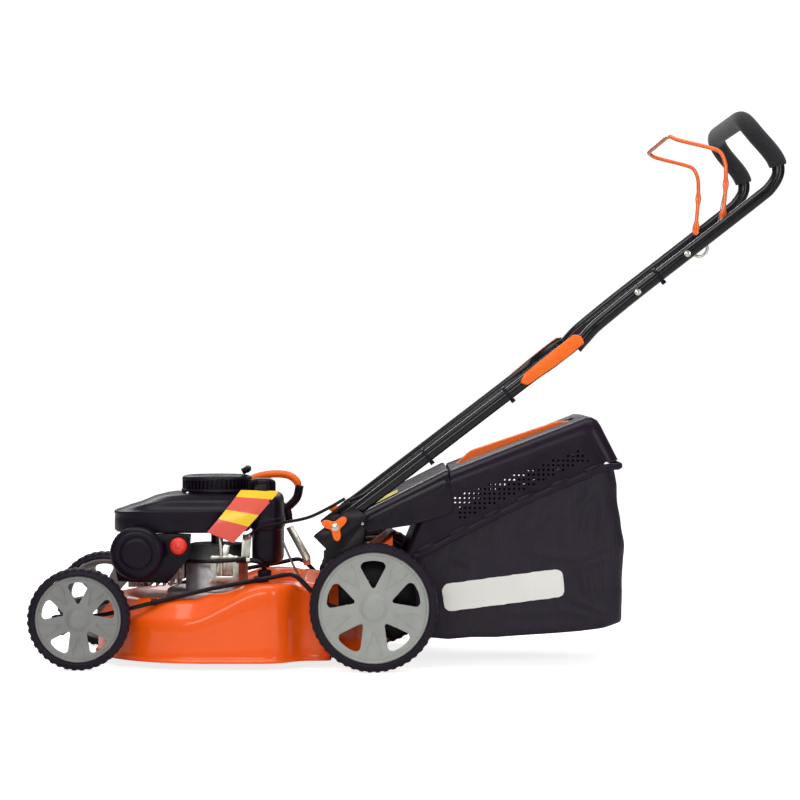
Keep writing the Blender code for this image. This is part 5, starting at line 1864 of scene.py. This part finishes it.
end_route = [Vector(p) for p in ((612, -207.6, 867), (628, -202, 874.6))]
stop = new_piece("cable_stop", *tube(end_route, 5.0, 20), FINISHES["zinc_plated_steel"])
rounded(stop, 0.6)
dressed(stop, "upper_handle", "zinc_plated_steel")

# %% [markdown]
# ## Bolts, ties and guides on the handle
#
# Zinc bolts with domed heads hold the halves of the handle, the bail and the rope guide.
# The guide is a bent wire eye that parks the starter cord. Nylon ties hold the cable.

# %% Handle hardware
screws(
    "handle_bolts", [(462, -247.8, 749.6), (560, -247.8, 825.6)], "upper_handle", "zinc_plated_steel",
    "left", 4.2, 3.6, 6.4
)
screws(
    "handle_bolts_right", [(462, 247.8, 749.6), (560, 247.8, 825.6)], "upper_handle", "zinc_plated_steel",
    "right", 4.2, 3.6, 6.4
)
screws("bail_bolt_left", [(634, -219.2, 893)], "upper_handle", "zinc_plated_steel", "left", 3.8, 3.0, 5.4)
screws("bail_bolt_right", [(634, 219.2, 893)], "upper_handle", "zinc_plated_steel", "right", 3.8, 3.0, 5.4)
for side in (-1, 1):
    word = "left" if side < 0 else "right"
    screws(
        f"knob_bolt_{word}", [(FOLD_LOW.x, side * 270.4, FOLD_LOW.z)], f"knob_{word}",
        "zinc_plated_steel", word, 5.2, 2.6, 7.6
    )

eye = [
    (570, -222, 834), (576, -210, 826), (588, -203, 822), (600, -204, 828), (604, -210, 838),
    (598, -216, 846), (588, -214, 844)
]
guide = new_piece("rope_guide", *tube(smooth_path(eye, 8), 3.2, 16), FINISHES["zinc_plated_steel"])
dressed(guide, "upper_handle", "zinc_plated_steel")


def tie(name, body, spot, way):
    """Nylon strap round tube and cable, with its lock head."""
    way = way.normalized()
    up = Vector((-way.z, 0, way.x))
    across = Vector((0, 1, 0))
    rings = []
    for k in range(40):
        a = 2 * math.pi * k / 40
        out = across * math.cos(a) * 14.2 + up * math.sin(a) * (14.2 if math.sin(a) < 0 else 16.6)
        if math.cos(a) > 0 and math.sin(a) > 0:
            out += across * 5 * math.sin(2 * a)
        rim = out.normalized()
        rings.append([
            spot + out + rim * r + way * w for r, w in ((-0.6, -3), (0.9, -3), (0.9, 3), (-0.6, 3))
        ])
    points, faces = skin(rings, closed=True)
    middle = spot - up * 16.4
    corner = []
    for w in (-4.5, 4.5):
        for u in (-3.4, 3.4):
            for v in (-4.5, 4.5):
                corner.append(middle + way * w + up * u + across * v)
    lock = (corner, [(0, 1, 3, 2), (4, 6, 7, 5), (0, 4, 5, 1), (2, 3, 7, 6), (0, 2, 6, 4), (1, 5, 7, 3)])
    strap = new_piece(name, *merged((points, faces), lock), FINISHES["black_plastic"])
    rounded(strap, 0.3)
    dressed(strap, body, "black_plastic", sharp=40)


tie("cable_tie_lower", "lower_handle", Vector((46, -235, 425.7)), SLANT)
tie("cable_tie_middle", "lower_handle", Vector((206, -235, 548.3)), SLANT)
tie("cable_tie_upper", "upper_handle", Vector((504, -235, 782.6)), Vector((98, 0, 76)))

# %% [markdown]
# ## Brake wire
#
# The bare end of the brake cable is a thin straight steel wire. It rides on the bail, which
# pulls it.

# %% Inner wire of the brake cable
wire_route = [Vector((622, -204, 872)).lerp(Vector((639, -212.5, 962)), i / 10) for i in range(11)]
wire = new_piece("brake_wire", *tube(wire_route, 0.8, 12), FINISHES["steel"])
dressed(wire, "bail", "steel")

# %% [markdown]
# ## Hang tag
#
# A new mower has a printed card tied to its fuel cap. It is bent by its own fold, and it
# has bands of yellow and red. The bands follow the card's own height, so they stay straight
# where the card curls.

# %% Tag
def banded(name, bands):
    """Printed card. bands are (share of the height where the band starts, colour)."""
    made = finish(name, bands[0][1], 0.42, (2.0, 0.02), Coat_Weight=0.35, Coat_Roughness=0.15)
    tree = made.node_tree
    shader = tree.nodes["Principled BSDF"]
    place = add_node(tree, "ShaderNodeUVMap", uv_map="card")
    split = add_node(tree, "ShaderNodeSeparateXYZ", {0: place.outputs[0]})
    ramp = add_node(tree, "ShaderNodeValToRGB", {0: split.outputs["Y"]})
    ramp.color_ramp.interpolation = "CONSTANT"
    stops = ramp.color_ramp.elements
    stops[0].color = linear(bands[0][1])
    stops[1].position, stops[1].color = bands[1][0], linear(bands[1][1])
    for share, code in bands[2:]:
        stops.new(share).color = linear(code)
    tree.links.new(ramp.outputs[0], shader.inputs["Base Color"])
    return made


def card(name, corners, bulge, paint, body, slot, cells=(14, 10), thickness=0.5):
    """Curved card between four corners, bent out by bulge in its middle."""
    a, b, c, d = (Vector(p) for p in corners)
    wide, tall = cells
    points, uvs = [], []
    for j in range(tall + 1):
        v = j / tall
        for i in range(wide + 1):
            u = i / wide
            p = a.lerp(b, u).lerp(d.lerp(c, u), v)
            points.append(p + Vector(bulge) * math.sin(math.pi * v) * (0.6 + 0.4 * math.sin(math.pi * u)))
            uvs.append((u, v))
    faces = []
    for j in range(tall):
        for i in range(wide):
            k = j * (wide + 1) + i
            faces.append((k, k + 1, k + wide + 2, k + wide + 1))
    mesh = bpy.data.meshes.new(name)
    mesh.from_pydata([p * MM for p in points], [], faces)
    layer = mesh.uv_layers.new(name="card")
    for corner in mesh.loops:
        layer.data[corner.index].uv = uvs[corner.vertex_index]
    mesh.materials.append(paint)
    piece = bpy.data.objects.new(name, mesh)
    bpy.context.scene.collection.objects.link(piece)
    thick = piece.modifiers.new("thick", "SOLIDIFY")
    thick.thickness, thick.offset = thickness * MM, 0.0
    evaluated(piece)
    return dressed(piece, body, slot, sharp=50)


tag_paint = banded("coated_card", [(0.0, "#FFCF12"), (0.16, "#EA5848"), (0.46, "#FFD21C"), (0.68, "#EA5646")])
card(
    "hang_tag", [(-330, -112, 352), (-252, -108, 350), (-344, -134, 246), (-397, -132, 268)], (3, -9, 0),
    tag_paint, "deck", "black_plastic"
)
band = card(
    "hang_tag_loop", [(-300, -108, 362), (-280, -107, 362), (-276, -110, 350), (-304, -110, 350)],
    (0, -2, 0), FINISHES["cable_rubber"], "deck", "black_plastic", (3, 6)
)
sticker_paint = finish("warning_film_yellow", "#D8C928", 0.4, (2.0, 0.02), ("#C9BC24", 30, 0.5))
sticker = [(-76, -172, 318.5), (-12, -172, 350.5), (-12, -62, 350.5), (-76, -62, 318.5)]
card("warning_film", sticker, (0, 0, 0), sticker_paint, "rear_flap", "flap_plastic_black", (4, 4), 0.4)

# %% [markdown]
# ## Knobs and wheel guards
#
# A knob's outline comes from one cosine with three waves per turn, so all three points match.
# The guard behind each rear wheel is a flat plate with rounded corners.

# %% Three-pointed knobs and the plates behind the rear wheels
for side in (-1, 1):
    word = "left" if side < 0 else "right"
    outline = []
    for k in range(96):
        a = 2 * math.pi * k / 96
        reach = 11.0 + 17.0 * ((1 + math.cos(3 * (a - math.radians(40)))) / 2) ** 1.7
        outline.append((FOLD_LOW.x + reach * math.cos(a), FOLD_LOW.z + reach * math.sin(a)))
    low, high = sorted((side * 258, side * 269.5))
    wing = plate(outline, low, high)
    boss = turned(
        "Y", (FOLD_LOW.x, FOLD_LOW.z),
        [(0.01, side * 252), (11, side * 252), (11, side * 260), (0.01, side * 260)], 40
    )
    knob = new_piece(f"knob_wing_{word}", *merged(wing, boss), FINISHES["orange_plastic"])
    rounded(knob, 2.2, 3, 60)
    dressed(knob, f"knob_{word}", "orange_plastic", f"knob_{word}", sharp=50)
    guard = [
        (-130, 112), (-130, 214), (-22, 232), (8, 205), (26, 140), (22, 76), (-30, 56), (-52, 84),
        (-96, 100)
    ]
    low, high = sorted((side * 190.8, side * 194.4))
    shield_plate = new_piece(
        f"wheel_guard_{word}", *plate([(p.x, p.y) for p in loop_rounded(guard, 12)], low, high),
        FINISHES["black_steel"]
    )
    rounded(shield_plate, 0.6)
    dressed(shield_plate, "deck", "black_steel")

# %% [markdown]
# ## What is left
#
# A part that no cell above replaced still shows its CAD mesh, with knife-sharp edges. Each
# gets a copy with a small bevel, because real edges always catch a line of light.

# %% Pieces that still show their CAD mesh
left_over = [node for node in slot_of if not frame["nodes"][node].hide_render]
for node in left_over:
    edged_copy(node, 0.6)
print("also finished:", left_over)
